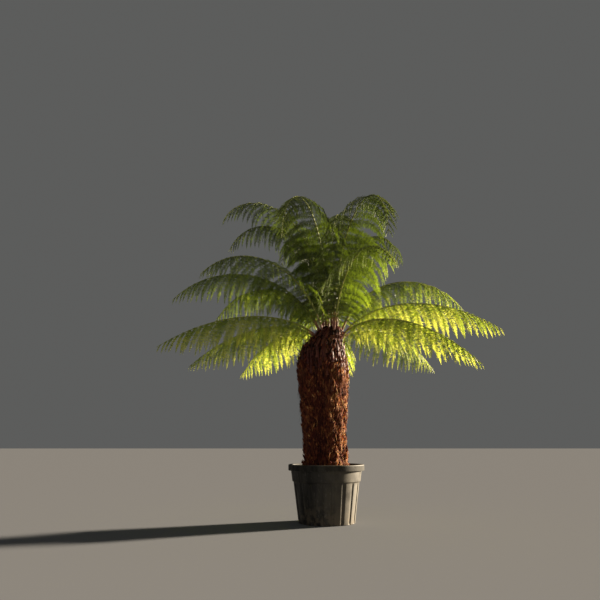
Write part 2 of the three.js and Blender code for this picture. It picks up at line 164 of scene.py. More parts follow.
# The pot: a black tub moulded in one piece from polyethylene. Flat panels stand between the
# grooves down its side, under a plain collar and a thick rim, with drain holes in its floor.
# Painted light greys its lit side, less so on the rim; dust lies on it, and dried mud near its foot.
POT_CORNERS = [
    (0.238, 0.000, 0.006),
    (0.281, 0.333, 0.004),
    (0.290, 0.337, 0.003),
    (0.302, 0.425, 0.003),
    (0.325, 0.425, 0.005),
    (0.325, 0.475, 0.007),
    (0.299, 0.475, 0.007),
    (0.274, 0.331, 0.004),
    (0.231, 0.010, 0.004),
]  # radius, height and how far each corner is rounded
CORNER_STEPS = 4
POT_FLOOR = 0.010
POT_STEP = 0.331  # where the grooves end
POT_INSIDE = ((POT_FLOOR, 0.231), (POT_STEP, 0.274), (0.469, 0.299))  # height and inner radius
GROOVES = 18
GROOVE_DEPTH = 0.006
GROOVE_EDGES = (2.1, 3.3)  # degrees from a groove's middle to the foot and top of its side
GROOVE_FADE = 0.008
FIRST_GROOVE = -41.3
GROOVE_COLUMNS = (-3.4, -2.9, -2.4, -2.0, -1.0, 0, 1.0, 2.0, 2.4, 2.9, 3.4, 5.2, 7.6, 10, 12.4, 14.8)
POT_LONGEST_ROW = 0.016
DRAIN_HOLES = 8
DRAIN_HOLE_RADIUS = 0.011
DRAIN_HOLE_SIDES = 16
DRAIN_RING = 0.170
# Painted light: the side towards the warm light is painted paler, over bare plastic and dust alike
POT_PAINTED_LIGHT_SIDE = (0.77, -0.64, 0)
POT_PAINTED_LIGHT_RANGE = (0.06, 0.27)  # towards that side, from where it has none of the painted light to where it has it all
RIM_EDGE = (0.424, 0.430)  # heights between which the rim's duller band starts
RIM_CREST = (0.471, 0.466)  # and where it ends, under the rounded top edge
RIM_PAINTED_LIGHT = 0.36  # how much of the painted light lies on that band, which stays darker
RIM_DULL = 0.90  # its roughness
POT_POLISH = (0.42, 0.72)  # roughness of the plastic where it is bare, and under dust
POT_SHINE = 0.3
POT_GRAIN = {"distance": 0.0003, "strength": 0.3}
MUD_LINE = 0.20
POT_MARKS = {  # how fine each mark is, the noise where it starts and is full, and its stretch
    "dust": (7, 0.30, 0.72),
    "streaks": (26, 0.42, 0.66, (1, 1, 0.09)),
    "scuffs": (90, 0.60, 0.68, (1, 1, 0.35)),
    "mud": (24, 0.40, 0.60),
    "grain": (420, 0.3, 0.7),
}
POT_COVER = {"dust": 0.7, "streaks": 0.30, "scuffs": 0.4, "mud": 0.7}
POT_TONES = {
    "bare": (0.006, 0.006, 0.006),
    "dust": (0.020, 0.018, 0.014),
    # Painted light: the next two tones are the paler ones for the side towards the warm light
    "pot_painted_light_bare": (0.056, 0.049, 0.038),
    "pot_painted_light_dust": (0.117, 0.102, 0.075),
    "streaks": (0.085, 0.078, 0.064),
    "scuffs": (0.13, 0.12, 0.105),
    "mud": (0.150, 0.118, 0.080),
}


def quadratic(start, pull, end, t):
    """A place on a curve from start to end that is pulled towards a third point."""
    return (1 - t) ** 2 * start + 2 * t * (1 - t) * pull + t * t * end


def rounded(corners):
    """An outline through these corners, each rounded off with a short curve. It comes in from
    the axis and goes back to it."""
    places = np.array([corner[:2] for corner in corners])
    inward = places * (0.9, 1)
    path = np.vstack([inward[:1], places, inward[-1:]])
    line = []
    for i, (place, corner) in enumerate(zip(places, corners)):
        back, on = [
            place + (other - place) / np.linalg.norm(other - place) * corner[2]
            for other in (path[i], path[i + 2])
        ]
        line.extend(quadratic(back, place, on, t) for t in np.linspace(0, 1, CORNER_STEPS + 1))
    return np.array(line)


def divided(line, longest):
    """The same outline with its long stretches divided."""
    made = [line[0]]
    for start, end in zip(line, line[1:]):
        parts = max(1, math.ceil(np.linalg.norm(end - start) / longest))
        made.extend(start + (end - start) * step / parts for step in range(1, parts + 1))
    return np.array(made)


def lerp(start, end, share):
    return start + (end - start) * share


def ease(value):
    """0 to 1 with soft ends, and level outside."""
    held = np.clip(value, 0, 1)
    return held * held * (3 - 2 * held)


def from_rings(name, rings, foot, tip):
    """A closed smooth mesh through rings that turn anticlockwise, from a foot to a tip."""
    rows, columns, _ = rings.shape
    corner = np.arange(rows * columns).reshape(rows, columns)
    after = np.roll(corner, -1, axis=1)
    faces = np.stack([corner[:-1], after[:-1], after[1:], corner[1:]], axis=-1).reshape(-1, 4).tolist()
    faces += [(rows * columns, b, a) for a, b in zip(corner[0].tolist(), after[0].tolist())]
    faces += [(rows * columns + 1, a, b) for a, b in zip(corner[-1].tolist(), after[-1].tolist())]
    made = mesh_of(name, np.vstack([rings.reshape(-1, 3), foot, tip]), faces)
    made.shade_smooth()
    return made


def finished(piece, slot, replaced, *materials):
    """Gives a piece its materials and its place in the frame."""
    for material in materials:
        piece.data.materials.append(material)
    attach(piece, "root")
    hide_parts(*replaced)
    return piece


def new_tree(kind, name, inputs, outputs):
    """An empty node tree with named sockets, and the nodes that hold them."""
    tree = bpy.data.node_groups.new(name, kind)
    kinds = {float: "Float", int: "Int", tuple: "Vector"}
    for label, value in inputs.items():
        plain = isinstance(value, str)
        socket_type = "NodeSocket" + (value if plain else kinds[type(value)])
        socket = tree.interface.new_socket(label, in_out="INPUT", socket_type=socket_type)
        if not plain:
            socket.default_value = value
    for label, value in outputs.items():
        tree.interface.new_socket(label, in_out="OUTPUT", socket_type="NodeSocket" + value)
    return tree, tree.nodes.new("NodeGroupInput").outputs, tree.nodes.new("NodeGroupOutput").inputs


def blotch_group():
    """Blotches: a mask that is 0 where a stretched noise is under Low and 1 over High."""
    inputs = {"Scale": 10.0, "Stretch": (1.0, 1.0, 1.0), "Low": 0.4, "High": 0.6}
    tree, given, out = new_tree("ShaderNodeTree", "blotches", inputs, {"Mask": "Float"})
    place = node(tree, "ShaderNodeTexCoord").outputs["Object"]
    drawn = node(tree, "ShaderNodeVectorMath", {0: place, 1: given["Stretch"]}, operation="MULTIPLY")
    grain = {"Vector": drawn.outputs[0], "Scale": given["Scale"], "Detail": 5}
    cloud = node(tree, "ShaderNodeTexNoise", grain)
    ranged = {"Value": cloud.outputs["Fac"], "From Min": given["Low"], "From Max": given["High"]}
    mask = node(tree, "ShaderNodeMapRange", ranged, interpolation_type="SMOOTHSTEP")
    tree.links.new(mask.outputs["Result"], out["Mask"])
    return tree


BLOTCHES = blotch_group()


def mask_of(tree, scale, low, high, stretch=(1, 1, 1)):
    """The blotches' mask with these values, for use in a material."""
    placed = node(tree, "ShaderNodeGroup", node_tree=BLOTCHES)
    values = {"Scale": scale, "Stretch": stretch, "Low": low, "High": high}
    for name, value in values.items():
        placed.inputs[name].default_value = value
    return placed.outputs["Mask"]


def mixed(tree, mask, first, second):
    """The first colour where the mask is 0, and the second where it is 1."""
    made = node(tree, "ShaderNodeMix", {0: mask}, data_type="RGBA")
    for socket, colour in ((6, first), (7, second)):
        if isinstance(colour, bpy.types.NodeSocket):
            tree.links.new(colour, made.inputs[socket])
        else:
            made.inputs[socket].default_value = (*colour, 1)
    return made.outputs[2]


def reckoned(tree, operation, *values):
    """What a Math node makes of these values."""
    return node(tree, "ShaderNodeMath", dict(enumerate(values)), operation=operation).outputs[0]


def times(tree, first, second):
    """The product of two values or masks."""
    return reckoned(tree, "MULTIPLY", first, second)


def along(tree, vector, direction):
    """How far a vector reaches in a direction."""
    made = node(tree, "ShaderNodeVectorMath", {0: vector, 1: direction}, operation="DOT_PRODUCT")
    return made.outputs["Value"]


def ramped(tree, value, low, high, start=0.0, end=1.0):
    """A value brought from low..high to start..end."""
    ranged = {"Value": value, "From Min": low, "From Max": high, "To Min": start, "To Max": end}
    return node(tree, "ShaderNodeMapRange", ranged).outputs["Result"]


def bumped(tree, shader, height, distance, strength=1.0):
    """Gives the shader a relief finer than the mesh."""
    links = {"Height": height, "Distance": distance, "Strength": strength}
    made = node(tree, "ShaderNodeBump", links)
    tree.links.new(made.outputs["Normal"], shader.inputs["Normal"])


def surfaced(tree, shader, colour, roughness, shine=0.5):
    """Gives the shader its colour, and sets how rough it is and how strongly it shines."""
    tree.links.new(colour, shader.inputs["Base Color"])
    if isinstance(roughness, bpy.types.NodeSocket):
        tree.links.new(roughness, shader.inputs["Roughness"])
    else:
        shader.inputs["Roughness"].default_value = roughness
    shader.inputs["Specular IOR Level"].default_value = shine


def pot_finish():
    """Black polyethylene under dust, with rain streaks, scuffs and mud near the foot. Painted
    light makes its side towards the warm light paler, less so on the rim, which is also duller."""
    material, tree, shader = shaded("pot_plastic")
    place = node(tree, "ShaderNodeTexCoord").outputs["Object"]
    height = node(tree, "ShaderNodeSeparateXYZ", {0: place}).outputs[2]
    marks = {name: mask_of(tree, *values) for name, values in POT_MARKS.items()}
    dust = marks["dust"]
    marks["mud"] = times(tree, marks["mud"], ramped(tree, height, MUD_LINE, 0.0))
    clean = mixed(tree, times(tree, dust, POT_COVER["dust"]), POT_TONES["bare"], POT_TONES["dust"])
    # Painted light: paler tones on the side towards the warm light, less of them on the rim band
    pot_painted_light_colour = mixed(tree, dust, POT_TONES["pot_painted_light_bare"], POT_TONES["pot_painted_light_dust"])
    rim = times(tree, ramped(tree, height, *RIM_EDGE), ramped(tree, height, *RIM_CREST))
    sideways = ramped(tree, along(tree, place, POT_PAINTED_LIGHT_SIDE), *POT_PAINTED_LIGHT_RANGE)
    pot_painted_light_share = times(tree, sideways, ramped(tree, rim, 0, 1, 1, RIM_PAINTED_LIGHT))
    colour = mixed(tree, pot_painted_light_share, clean, pot_painted_light_colour)
    for name in ("streaks", "scuffs", "mud"):
        colour = mixed(tree, times(tree, marks[name], POT_COVER[name]), colour, POT_TONES[name])
    polish = ramped(tree, dust, 0, 1, *POT_POLISH)
    surfaced(tree, shader, colour, ramped(tree, rim, 0, 1, polish, RIM_DULL), POT_SHINE)
    bumped(tree, shader, marks["grain"], **POT_GRAIN)
    return material


def pot_mesh():
    """The pot's outline turned through the columns of its panels, before it is drilled."""
    line = divided(rounded(POT_CORNERS), POT_LONGEST_ROW)
    outer = np.arange(len(line)) < np.argmax(line[:, 1] > POT_STEP)
    fade = ease(line[:, 1] / GROOVE_FADE) * ease((POT_STEP - line[:, 1]) / GROOVE_FADE) * outer
    panel = 360 / GROOVES
    columns = np.add.outer(panel * np.arange(GROOVES), GROOVE_COLUMNS).ravel()
    off_middle = np.abs((columns + panel / 2) % panel - panel / 2)
    inner_edge, outer_edge = GROOVE_EDGES
    cut = GROOVE_DEPTH * ease((outer_edge - off_middle) / (outer_edge - inner_edge))
    radius = line[:, :1] - fade[:, None] * cut[None]
    turn = np.radians(FIRST_GROOVE + columns)
    height = np.broadcast_to(line[:, 1:], radius.shape)
    rings = np.stack([radius * np.cos(turn), radius * np.sin(turn), height], axis=-1)
    return from_rings("pot_body", rings, (0, 0, 0), (0, 0, POT_FLOOR))


def drain_cutter():
    """Upright pegs in one mesh, to cut the drain holes with."""
    points, faces = [], []
    for hole in range(DRAIN_HOLES):
        middle = 2 * math.pi * hole / DRAIN_HOLES
        first = len(points)
        for height in (-POT_FLOOR, 2 * POT_FLOOR):
            for side in range(DRAIN_HOLE_SIDES):
                turn = 2 * math.pi * side / DRAIN_HOLE_SIDES
                points.append((
                    DRAIN_RING * math.cos(middle) + DRAIN_HOLE_RADIUS * math.cos(turn),
                    DRAIN_RING * math.sin(middle) + DRAIN_HOLE_RADIUS * math.sin(turn),
                    height,
                ))
        low = [first + side for side in range(DRAIN_HOLE_SIDES)]
        high = [corner + DRAIN_HOLE_SIDES for corner in low]
        faces += [low[::-1], high]
        faces += [(low[i - 1], low[i], high[i], high[i - 1]) for i in range(DRAIN_HOLE_SIDES)]
    return mesh_of("drain_cutter", points, faces)


def as_mesh(source, name):
    """What an object's modifiers make of it, as a plain object. The source is removed."""
    graph = bpy.context.evaluated_depsgraph_get()
    made = in_scene(name, bpy.data.meshes.new_from_object(source.evaluated_get(graph)))
    bpy.data.objects.remove(source)
    return made


pot_blank = in_scene("pot_blank", pot_mesh())
drain_pegs = in_scene("drain_pegs", drain_cutter())
drilling = pot_blank.modifiers.new("drilling", "BOOLEAN")
drilling.object = drain_pegs
drilling.solver = "EXACT"
pot = as_mesh(pot_blank, "pot_tub")
bpy.data.objects.remove(drain_pegs)
finished(pot, "pot", ["pot"], pot_finish())


# The potting mix: composted bark and coir, pressed down round the trunk and lumpy on top.
# Loose chips of bark lie strewn over it.
MIX_LEVEL = 0.436
MIX_SAG = 0.007
MIX_FLAT_RADIUS = 0.230
MIX_CLEARANCE = 0.0006
MIX_LUMPS = 0.006
MIX_LUMP_SCALES = ((28, 1), (95, 0.6))  # how fine the lumps are, and their share of the height
MIX_OVER_FLOOR = 0.0003
MIX_SIDE_HEIGHTS = (0.12, 0.24, POT_STEP, 0.38)
MIX_COLUMNS = 180
MIX_TOP_ROWS = 34
MIX_INNER_RADIUS = 0.17
CHIPS = {
    "per_area": 5200.0,
    "smallest": (0.004, 0.003, 0.002),
    "largest": (0.017, 0.010, 0.006),
    "grows": (0.0, 0.0, 0.4),
    "outward": 0.0,
    "play": 0.7,
    "seed": 3,
}
PATCH_SCALE = 19.0
PATCH_NOISE = (0.3, 0.7)
PATCH_SHIFT = (-0.36, 0.36)  # how much darker and paler the patches are
CHANCES = (0.04, 0.68)  # the colours that are dealt piece by piece, 0 the darkest, 1 the palest
RARE_PALE = 2.0  # above 1 makes the paler ones rarer
PAINTED_LIGHT_FOCUS = 3.0  # above 1 gathers the painted light on the side that it points to
PAINTED_SHADE_FOCUS = 2.0  # and the same for the painted shade
THIN_COVER = 0.7  # how much darker they are where the cover is thin: painted shade near the trunk's crevices, and the darker top among the stubs
BARK_TONES = {
    "chip_dark": (0.030, 0.016, 0.009),
    "chip_brown": (0.085, 0.042, 0.020),
    "chip_grey": (0.130, 0.095, 0.066),
}
CHIP_SHADE = 0.6  # how dark a chip's darker patches are
CHIP_GRAIN = (160, 0.001)  # how fine it is, and how deep
MIX_TONES = ((0.016, 0.010, 0.006), (0.060, 0.036, 0.020))
MIX_GRAIN = (70, 0.003)
EARTH_PATCHES = (0.36, 0.64)  # the noise where they start and are full
EARTH_GRAIN = (0.3, 0.7)
EARTH_FINER = 4  # times as fine as the patches
EARTH_ROUGHNESS = 0.92


def earthy(name, dark, light, scale, relief):
    """A rough, dry finish in two colours."""
    material, tree, shader = shaded(name)
    colour = mixed(tree, mask_of(tree, scale, *EARTH_PATCHES), dark, light)
    surfaced(tree, shader, colour, EARTH_ROUGHNESS)
    bumped(tree, shader, mask_of(tree, scale * EARTH_FINER, *EARTH_GRAIN), relief)
    return material


def stored_as(tree, name, kind="FLOAT"):
    """The values that a mesh keeps under this name."""
    return node(tree, "GeometryNodeInputNamedAttribute", {"Name": name}, data_type=kind).outputs[0]


def storing(tree, geometry, name, value):
    """The geometry with a value kept on its points under this name."""
    links = {"Geometry": geometry, "Name": name, "Value": value}
    return node(tree, "GeometryNodeStoreNamedAttribute", links, data_type="FLOAT").outputs[0]


def random_between(tree, low, high, seed, kind="FLOAT"):
    """A random number or vector for each point or piece."""
    first, result = (0, 0) if kind == "FLOAT_VECTOR" else (2, 1)
    links = {first: low, first + 1: high, "Seed": seed}
    return node(tree, "FunctionNodeRandomValue", links, data_type=kind).outputs[result]


def vector_of(tree, operation, first, second=None):
    """What a Vector Math node makes of a vector and another one, or a number to scale it by."""
    links = {0: first}
    if second is not None:
        links["Scale" if operation == "SCALE" else 1] = second
    return node(tree, "ShaderNodeVectorMath", links, operation=operation).outputs[0]


def instanced(tree, points, piece, main_axis, axis, other_axis, other, size):
    """A copy of a piece on each point, with two of its axes turned to these directions."""
    turned = node(
        tree, "FunctionNodeAxesToRotation", {0: axis, 1: other},
        primary_axis=main_axis, secondary_axis=other_axis,
    )
    copied = node(tree, "GeometryNodeObjectInfo", {"Object": piece}).outputs["Geometry"]
    links = {"Points": points, "Instance": copied, "Rotation": turned.outputs[0], "Scale": size}
    return node(tree, "GeometryNodeInstanceOnPoints", links).outputs[0]


def realized(tree, geometry):
    """Instances made a plain mesh."""
    return node(tree, "GeometryNodeRealizeInstances", {0: geometry}).outputs[0]


def dealt(tree, geometry, attribute, materials):
    """Deals materials out to faces: the first at 0 of the attribute, the last at 1."""
    value = stored_as(tree, attribute)
    for place, material in enumerate(materials):
        links = {"Geometry": geometry, "Material": material}
        if place:
            least = place / len(materials)
            over = node(tree, "FunctionNodeCompare", {0: value, 1: least}, operation="GREATER_THAN")
            links["Selection"] = over.outputs[0]
        geometry = node(tree, "GeometryNodeSetMaterial", links).outputs[0]
    return geometry


def facing(tree, normal, direction, focus):
    """How squarely a surface faces a direction, from 0 to 1, gathered by a focus above 1."""
    towards = reckoned(tree, "MAXIMUM", along(tree, normal, direction), 0.0)
    return reckoned(tree, "POWER", towards, focus)


def strewn_tree(name, materials):
    """Copies of a piece strewn over a surface where its cover is above 0. Their long axis
    follows Grows, leans out along the surface's normal by Outward, and strays by Play. Their
    colours come in patches and are darker where the cover is thin, near crevices a painted
    shade. Painted light makes them paler on one given side, and painted shade darker on another."""
    inputs = {
        "Geometry": "Geometry",
        "Piece": "Object",
        "Per area": 1000.0,
        "Smallest": (1.0, 1.0, 1.0),
        "Largest": (1.0, 1.0, 1.0),
        "Grows": (0.0, 0.0, 1.0),
        "Outward": 0.2,
        "Play": 0.2,
        "Painted_lit_side": (0.0, 0.0, 0.0),
        "Paler": 0.0,
        "Damp": (0.0, 0.0, 0.0),
        "Darker": 0.0,
        "Seed": 1,
    }
    tree, given, out = new_tree("GeometryNodeTree", name, inputs, {"Geometry": "Geometry"})
    cover = stored_as(tree, "cover")
    spread = {
        "Mesh": given["Geometry"],
        "Density": times(tree, given["Per area"], cover),
        "Seed": given["Seed"],
    }
    points = node(tree, "GeometryNodeDistributePointsOnFaces", spread)
    normal = points.outputs["Normal"]
    stray = random_between(tree, (-1, -1, -1), (1, 1, 1), given["Seed"], "FLOAT_VECTOR")
    strayed = vector_of(tree, "SCALE", stray, given["Play"])
    leaning = vector_of(tree, "SCALE", normal, given["Outward"])
    axis = vector_of(tree, "ADD", vector_of(tree, "ADD", given["Grows"], leaning), strayed)
    size = random_between(tree, given["Smallest"], given["Largest"], 7, "FLOAT_VECTOR")
    patch = node(tree, "ShaderNodeTexNoise", {"Scale": PATCH_SCALE}).outputs["Fac"]
    shift = ramped(tree, patch, *PATCH_NOISE, *PATCH_SHIFT)
    rarer = reckoned(tree, "POWER", random_between(tree, 0.0, 1.0, 11), RARE_PALE)
    # Painted light on one side and painted shade on another shift each piece's tone
    paler = times(tree, facing(tree, normal, given["Painted_lit_side"], PAINTED_LIGHT_FOCUS), given["Paler"])
    darker = times(tree, facing(tree, normal, given["Damp"], PAINTED_SHADE_FOCUS), given["Darker"])
    shifted = reckoned(tree, "SUBTRACT", reckoned(tree, "ADD", shift, paler), darker)
    picked = reckoned(tree, "ADD", ramped(tree, rarer, 0, 1, *CHANCES), shifted)
    # Darker where the cover is thin: near crevices a painted shade, at the top the stubs' darker zone
    pick = times(tree, picked, ramped(tree, cover, 0, 1, THIN_COVER, 1))
    marked = storing(tree, points.outputs["Points"], "pick", pick)
    placed = instanced(tree, marked, given["Piece"], "Z", axis, "X", normal, size)
    tree.links.new(dealt(tree, realized(tree, placed), "pick", materials), out["Geometry"])
    return tree


def grown(name, mesh, tree, pattern=None, **values):
    """Runs a tree on a mesh, with another mesh as its Piece where it needs one, and returns the
    result as a plain object."""
    bed = in_scene(name + "_bed", mesh)
    modifier = bed.modifiers.new("made", "NODES")
    modifier.node_group = tree
    if pattern is not None:
        values["piece"] = in_scene(name + "_pattern", pattern)
    for socket in tree.interface.items_tree:
        label = socket.name.replace(" ", "_").lower()
        if socket.in_out == "INPUT" and label in values:
            modifier[socket.identifier] = values[label]
    made = as_mesh(bed, name)
    if pattern is not None:
        bpy.data.objects.remove(values["piece"])
    return made


def give(mesh, name, values, kind="FLOAT"):
    """Stores a value or a vector for each point of a mesh."""
    made = mesh.attributes.new(name, kind, "POINT")
    label = "vector" if kind == "FLOAT_VECTOR" else "value"
    made.data.foreach_set(label, np.asarray(values, np.float32).ravel())


def pot_inside(height):
    """The pot's inner radius at a height."""
    return np.interp(height, *zip(*POT_INSIDE))


def mix_mesh():
    """A plug that fills the pot, with a lumpy top."""
    floor_height = POT_FLOOR + MIX_OVER_FLOOR
    side_heights = np.array([floor_height, *MIX_SIDE_HEIGHTS, MIX_LEVEL - MIX_SAG])
    side = np.stack([pot_inside(side_heights) - MIX_CLEARANCE, side_heights], axis=-1)
    top_radii = np.linspace(side[-1, 0], MIX_INNER_RADIUS, MIX_TOP_ROWS)[1:]
    fall = np.clip((top_radii - MIX_FLAT_RADIUS) / (side[-1, 0] - MIX_FLAT_RADIUS), 0, 1)
    line = np.vstack([side, np.stack([top_radii, MIX_LEVEL - MIX_SAG * fall], axis=-1)])
    turn = np.linspace(0, 2 * math.pi, MIX_COLUMNS, endpoint=False)
    rings = np.empty((len(line), MIX_COLUMNS, 3))
    for row, (radius, height) in enumerate(line):
        rings[row, :, 0] = radius * np.cos(turn)
        rings[row, :, 1] = radius * np.sin(turn)
        rings[row, :, 2] = height
        for point in rings[row] if row >= len(side) else ():
            lumps = [share * noise.noise(Vector(point) * fine) for fine, share in MIX_LUMP_SCALES]
            point[2] += MIX_LUMPS * sum(lumps)
    made = from_rings("mix_body", rings, (0, 0, floor_height), (0, 0, MIX_LEVEL))
    on_top = np.repeat(np.arange(len(line)) >= len(side) - 1, MIX_COLUMNS)
    give(made, "cover", np.append(on_top, (False, False)))
    return made


def chip_mesh():
    """A splintered chip of bark, a unit long."""
    corners = [
        (-1, -0.8, -1), (0.9, -1, -0.8), (1, 0.7, -1), (-0.8, 1, -0.7),
        (-0.7, -1, 0.8), (1, -0.6, 1), (0.7, 1, 0.7), (-1, 0.6, 1),
    ]
    faces = [(3, 2, 1, 0), (4, 5, 6, 7), (0, 1, 5, 4), (1, 2, 6, 5), (2, 3, 7, 6), (3, 0, 4, 7)]
    return mesh_of("chip", np.array(corners) / 2, faces)


mix = in_scene("potting_mix_bed", mix_mesh())
chip_finishes = [
    earthy(name, tuple(CHIP_SHADE * part for part in tone), tone, *CHIP_GRAIN)
    for name, tone in BARK_TONES.items()
]
chip_tree = strewn_tree("strewn_chips", chip_finishes)
chips = grown("bark_chips", mix.data, chip_tree, chip_mesh(), **CHIPS)
finished(chips, "potting_mix", ["potting_mix"])
finished(mix, "potting_mix", ["potting_mix"], earthy("damp_mix", *MIX_TONES, *MIX_GRAIN))


# The trunk: a core of old stalk bases inside a thick mat of rust-brown roots, which grew on it
# from the crown down. It is lumpy, its crevices painted dark as painted shade, and leans a little.
TRUNK_STATIONS = np.array([
    (0.4363, 0.206, 0.000),
    (0.520, 0.199, -0.002),
    (0.830, 0.199, -0.013),
    (1.090, 0.221, -0.015),
    (1.250, 0.232, -0.016),
    (1.364, 0.226, -0.025),
    (1.466, 0.203, -0.014),
    (1.573, 0.156, 0.022),
    (1.632, 0.122, 0.048),
    (1.664, 0.082, 0.052),
])  # height, radius, and how far its middle has leant to +X
TRUNK_TIP = (0.052, 0, 1.682)
TRUNK_ROWS = 250
TRUNK_TOP_ROWS = 8
TRUNK_COLUMNS = 256
COAT_DEPTH = 0.013  # how far the core lies inside the coat
COAT_ENDS = (1.20, 1.47)  # heights over which the stubs take its place
COAT_LEAST = 0.18
FORM_RELIEF = 0.012  # of the large lumps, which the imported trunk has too
FORM_SIDES = 22
FORM_ROWS = 22
FORM_RIDGES = 0.6  # the share of it that runs on up the trunk
LUMP_RELIEF = 0.022
LUMP_SIZE = (0.040, 0.056)  # round the trunk, and up it
LUMP_STRAY = (0.5, 5, 9)  # how far their rows waver, and how often round the trunk and up it
LUMP_STEEPNESS = 1.7
LUMP_LEVEL = 0.6  # the height of a lump that lies level with the trunk's radius
FIBRE_RELIEF = 0.003
FIBRE_SIZE = (0.009, 0.070)
# What a place's distance from the crevices is made of
DEPTH_PARTS = {"everywhere": 0.35, "lump": 0.55, "fibre": 0.35, "form": 0.15}
END_ROWS = 3  # over which the relief starts at the foot
NARROW = 0.1  # the radius under which relief and coat get thinner towards the tip
TIP_DEPTH = 0.2
PAINTED_LIGHT_TURN = math.radians(-18)  # the side painted paler, as painted light
TUFT_ENDS = (0.28, 0.80)  # depths between which the coat thickens, from the crevices outward
TRUNK_TONES = {
    # painted shade in the crevices, which also darkens the top among the stubs
    "crevice": (0.010, 0.002, 0.002),
    "mat": (0.105, 0.022, 0.012),
    # painted light on the lit side
    "sunny_mat": (0.125, 0.034, 0.015),
    # paler fibre on the ridges, in part a painted highlight
    "ridge": (0.300, 0.110, 0.034),
    "grey": (0.16, 0.085, 0.045),
    # painted shade on the back of the lit side
    "damp": (0.036, 0.009, 0.005),
}
MAT_DEPTHS = (0.15, 0.75)  # from the crevices' painted shade to the mat's colour
RIDGE_DEPTHS = (0.55, 1.0)
TRUNK_STRANDS = (120, 0.36, 0.66, (1, 1, 0.07))
STRAND_RELIEF = 0.004
GREY_PATCHES = (9, 0.52, 0.70, (1, 1, 0.5))
GREY_MOST = 0.35
MAT_ROUGHNESS = 0.95
MAT_SHINE = 0.25
PAINTED_SHADE_SIDE = (0.5, 0.866, 0.0)  # the back of the lit side, painted darker as painted shade
PAINTED_SHADE_MOST = 0.8


def smooth_between(places, values, at):
    """The values at these places on a smooth curve through the stations."""
    slopes = np.gradient(values, places)
    i = np.clip(np.searchsorted(places, at) - 1, 0, len(places) - 2)
    span = places[i + 1] - places[i]
    t = (at - places[i]) / span
    from_start = (2 * t**3 - 3 * t**2 + 1) * values[i] + (t**3 - 2 * t**2 + t) * span * slopes[i]
    return from_start + (3 * t**2 - 2 * t**3) * values[i + 1] + (t**3 - t**2) * span * slopes[i + 1]


def trunk_at(height):
    """The trunk's radius and lean at one or more heights."""
    places, radii, leans = TRUNK_STATIONS.T
    held = np.clip(height, places[0], places[-1])
    return smooth_between(places, radii, held), smooth_between(places, leans, held)


def play(a, b):
    """A repeatable number from -1 to 1 for each pair of whole numbers."""
    held = math.sin(a * 12.9898 + b * 78.233) * 43758.5453
    return 2 * (held - math.floor(held)) - 1


form_heights = np.interp(
    np.linspace(0, len(TRUNK_STATIONS) - 1, FORM_ROWS + 1),
    range(len(TRUNK_STATIONS)),
    TRUNK_STATIONS[:, 0],
)
form_table = np.array([
    [lerp(play(side, row), play(side, FORM_ROWS + 1), FORM_RIDGES) for side in range(FORM_SIDES)]
    for row in range(FORM_ROWS + 1)
])


def form_relief(turn, height):
    """The large lumps, from -1 to 1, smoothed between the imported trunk's corners."""
    across = turn / (2 * math.pi) * FORM_SIDES
    up = float(np.interp(height, form_heights, range(FORM_ROWS + 1)))
    side, row = int(across), min(int(up), FORM_ROWS - 1)
    near, far = side % FORM_SIDES, (side + 1) % FORM_SIDES
    shares = ease(across - side), ease(up - row)
    low, high = [lerp(form_table[r, near], form_table[r, far], shares[0]) for r in (row, row + 1)]
    return lerp(low, high, shares[1])


def bark_relief(turn, height):
    """How far the bark stands out at a place, and how far it lies from a crevice, 0 to 1."""
    around = Vector((math.cos(turn), math.sin(turn), 0))
    girth = TRUNK_STATIONS[2, 1]
    form = form_relief(turn, height)
    most, often_around, often_up = LUMP_STRAY
    stray = most * noise.noise(around * often_around + Vector((7, 0, height * often_up)))
    at = around * (girth / LUMP_SIZE[0]) + Vector((stray, stray, height / LUMP_SIZE[1]))
    nearest, next_nearest = noise.voronoi(at)[0][:2]
    lump = min(1, LUMP_STEEPNESS * (next_nearest - nearest))
    fibre = noise.noise(around * (girth / FIBRE_SIZE[0]) + Vector((0, 0, height / FIBRE_SIZE[1])))
    reach = FORM_RELIEF * form + LUMP_RELIEF * (lump - LUMP_LEVEL) + FIBRE_RELIEF * fibre
    parts = {"everywhere": 1, "lump": lump, "fibre": fibre, "form": form}
    return reach, max(0, min(1, sum(share * parts[name] for name, share in DEPTH_PARTS.items())))


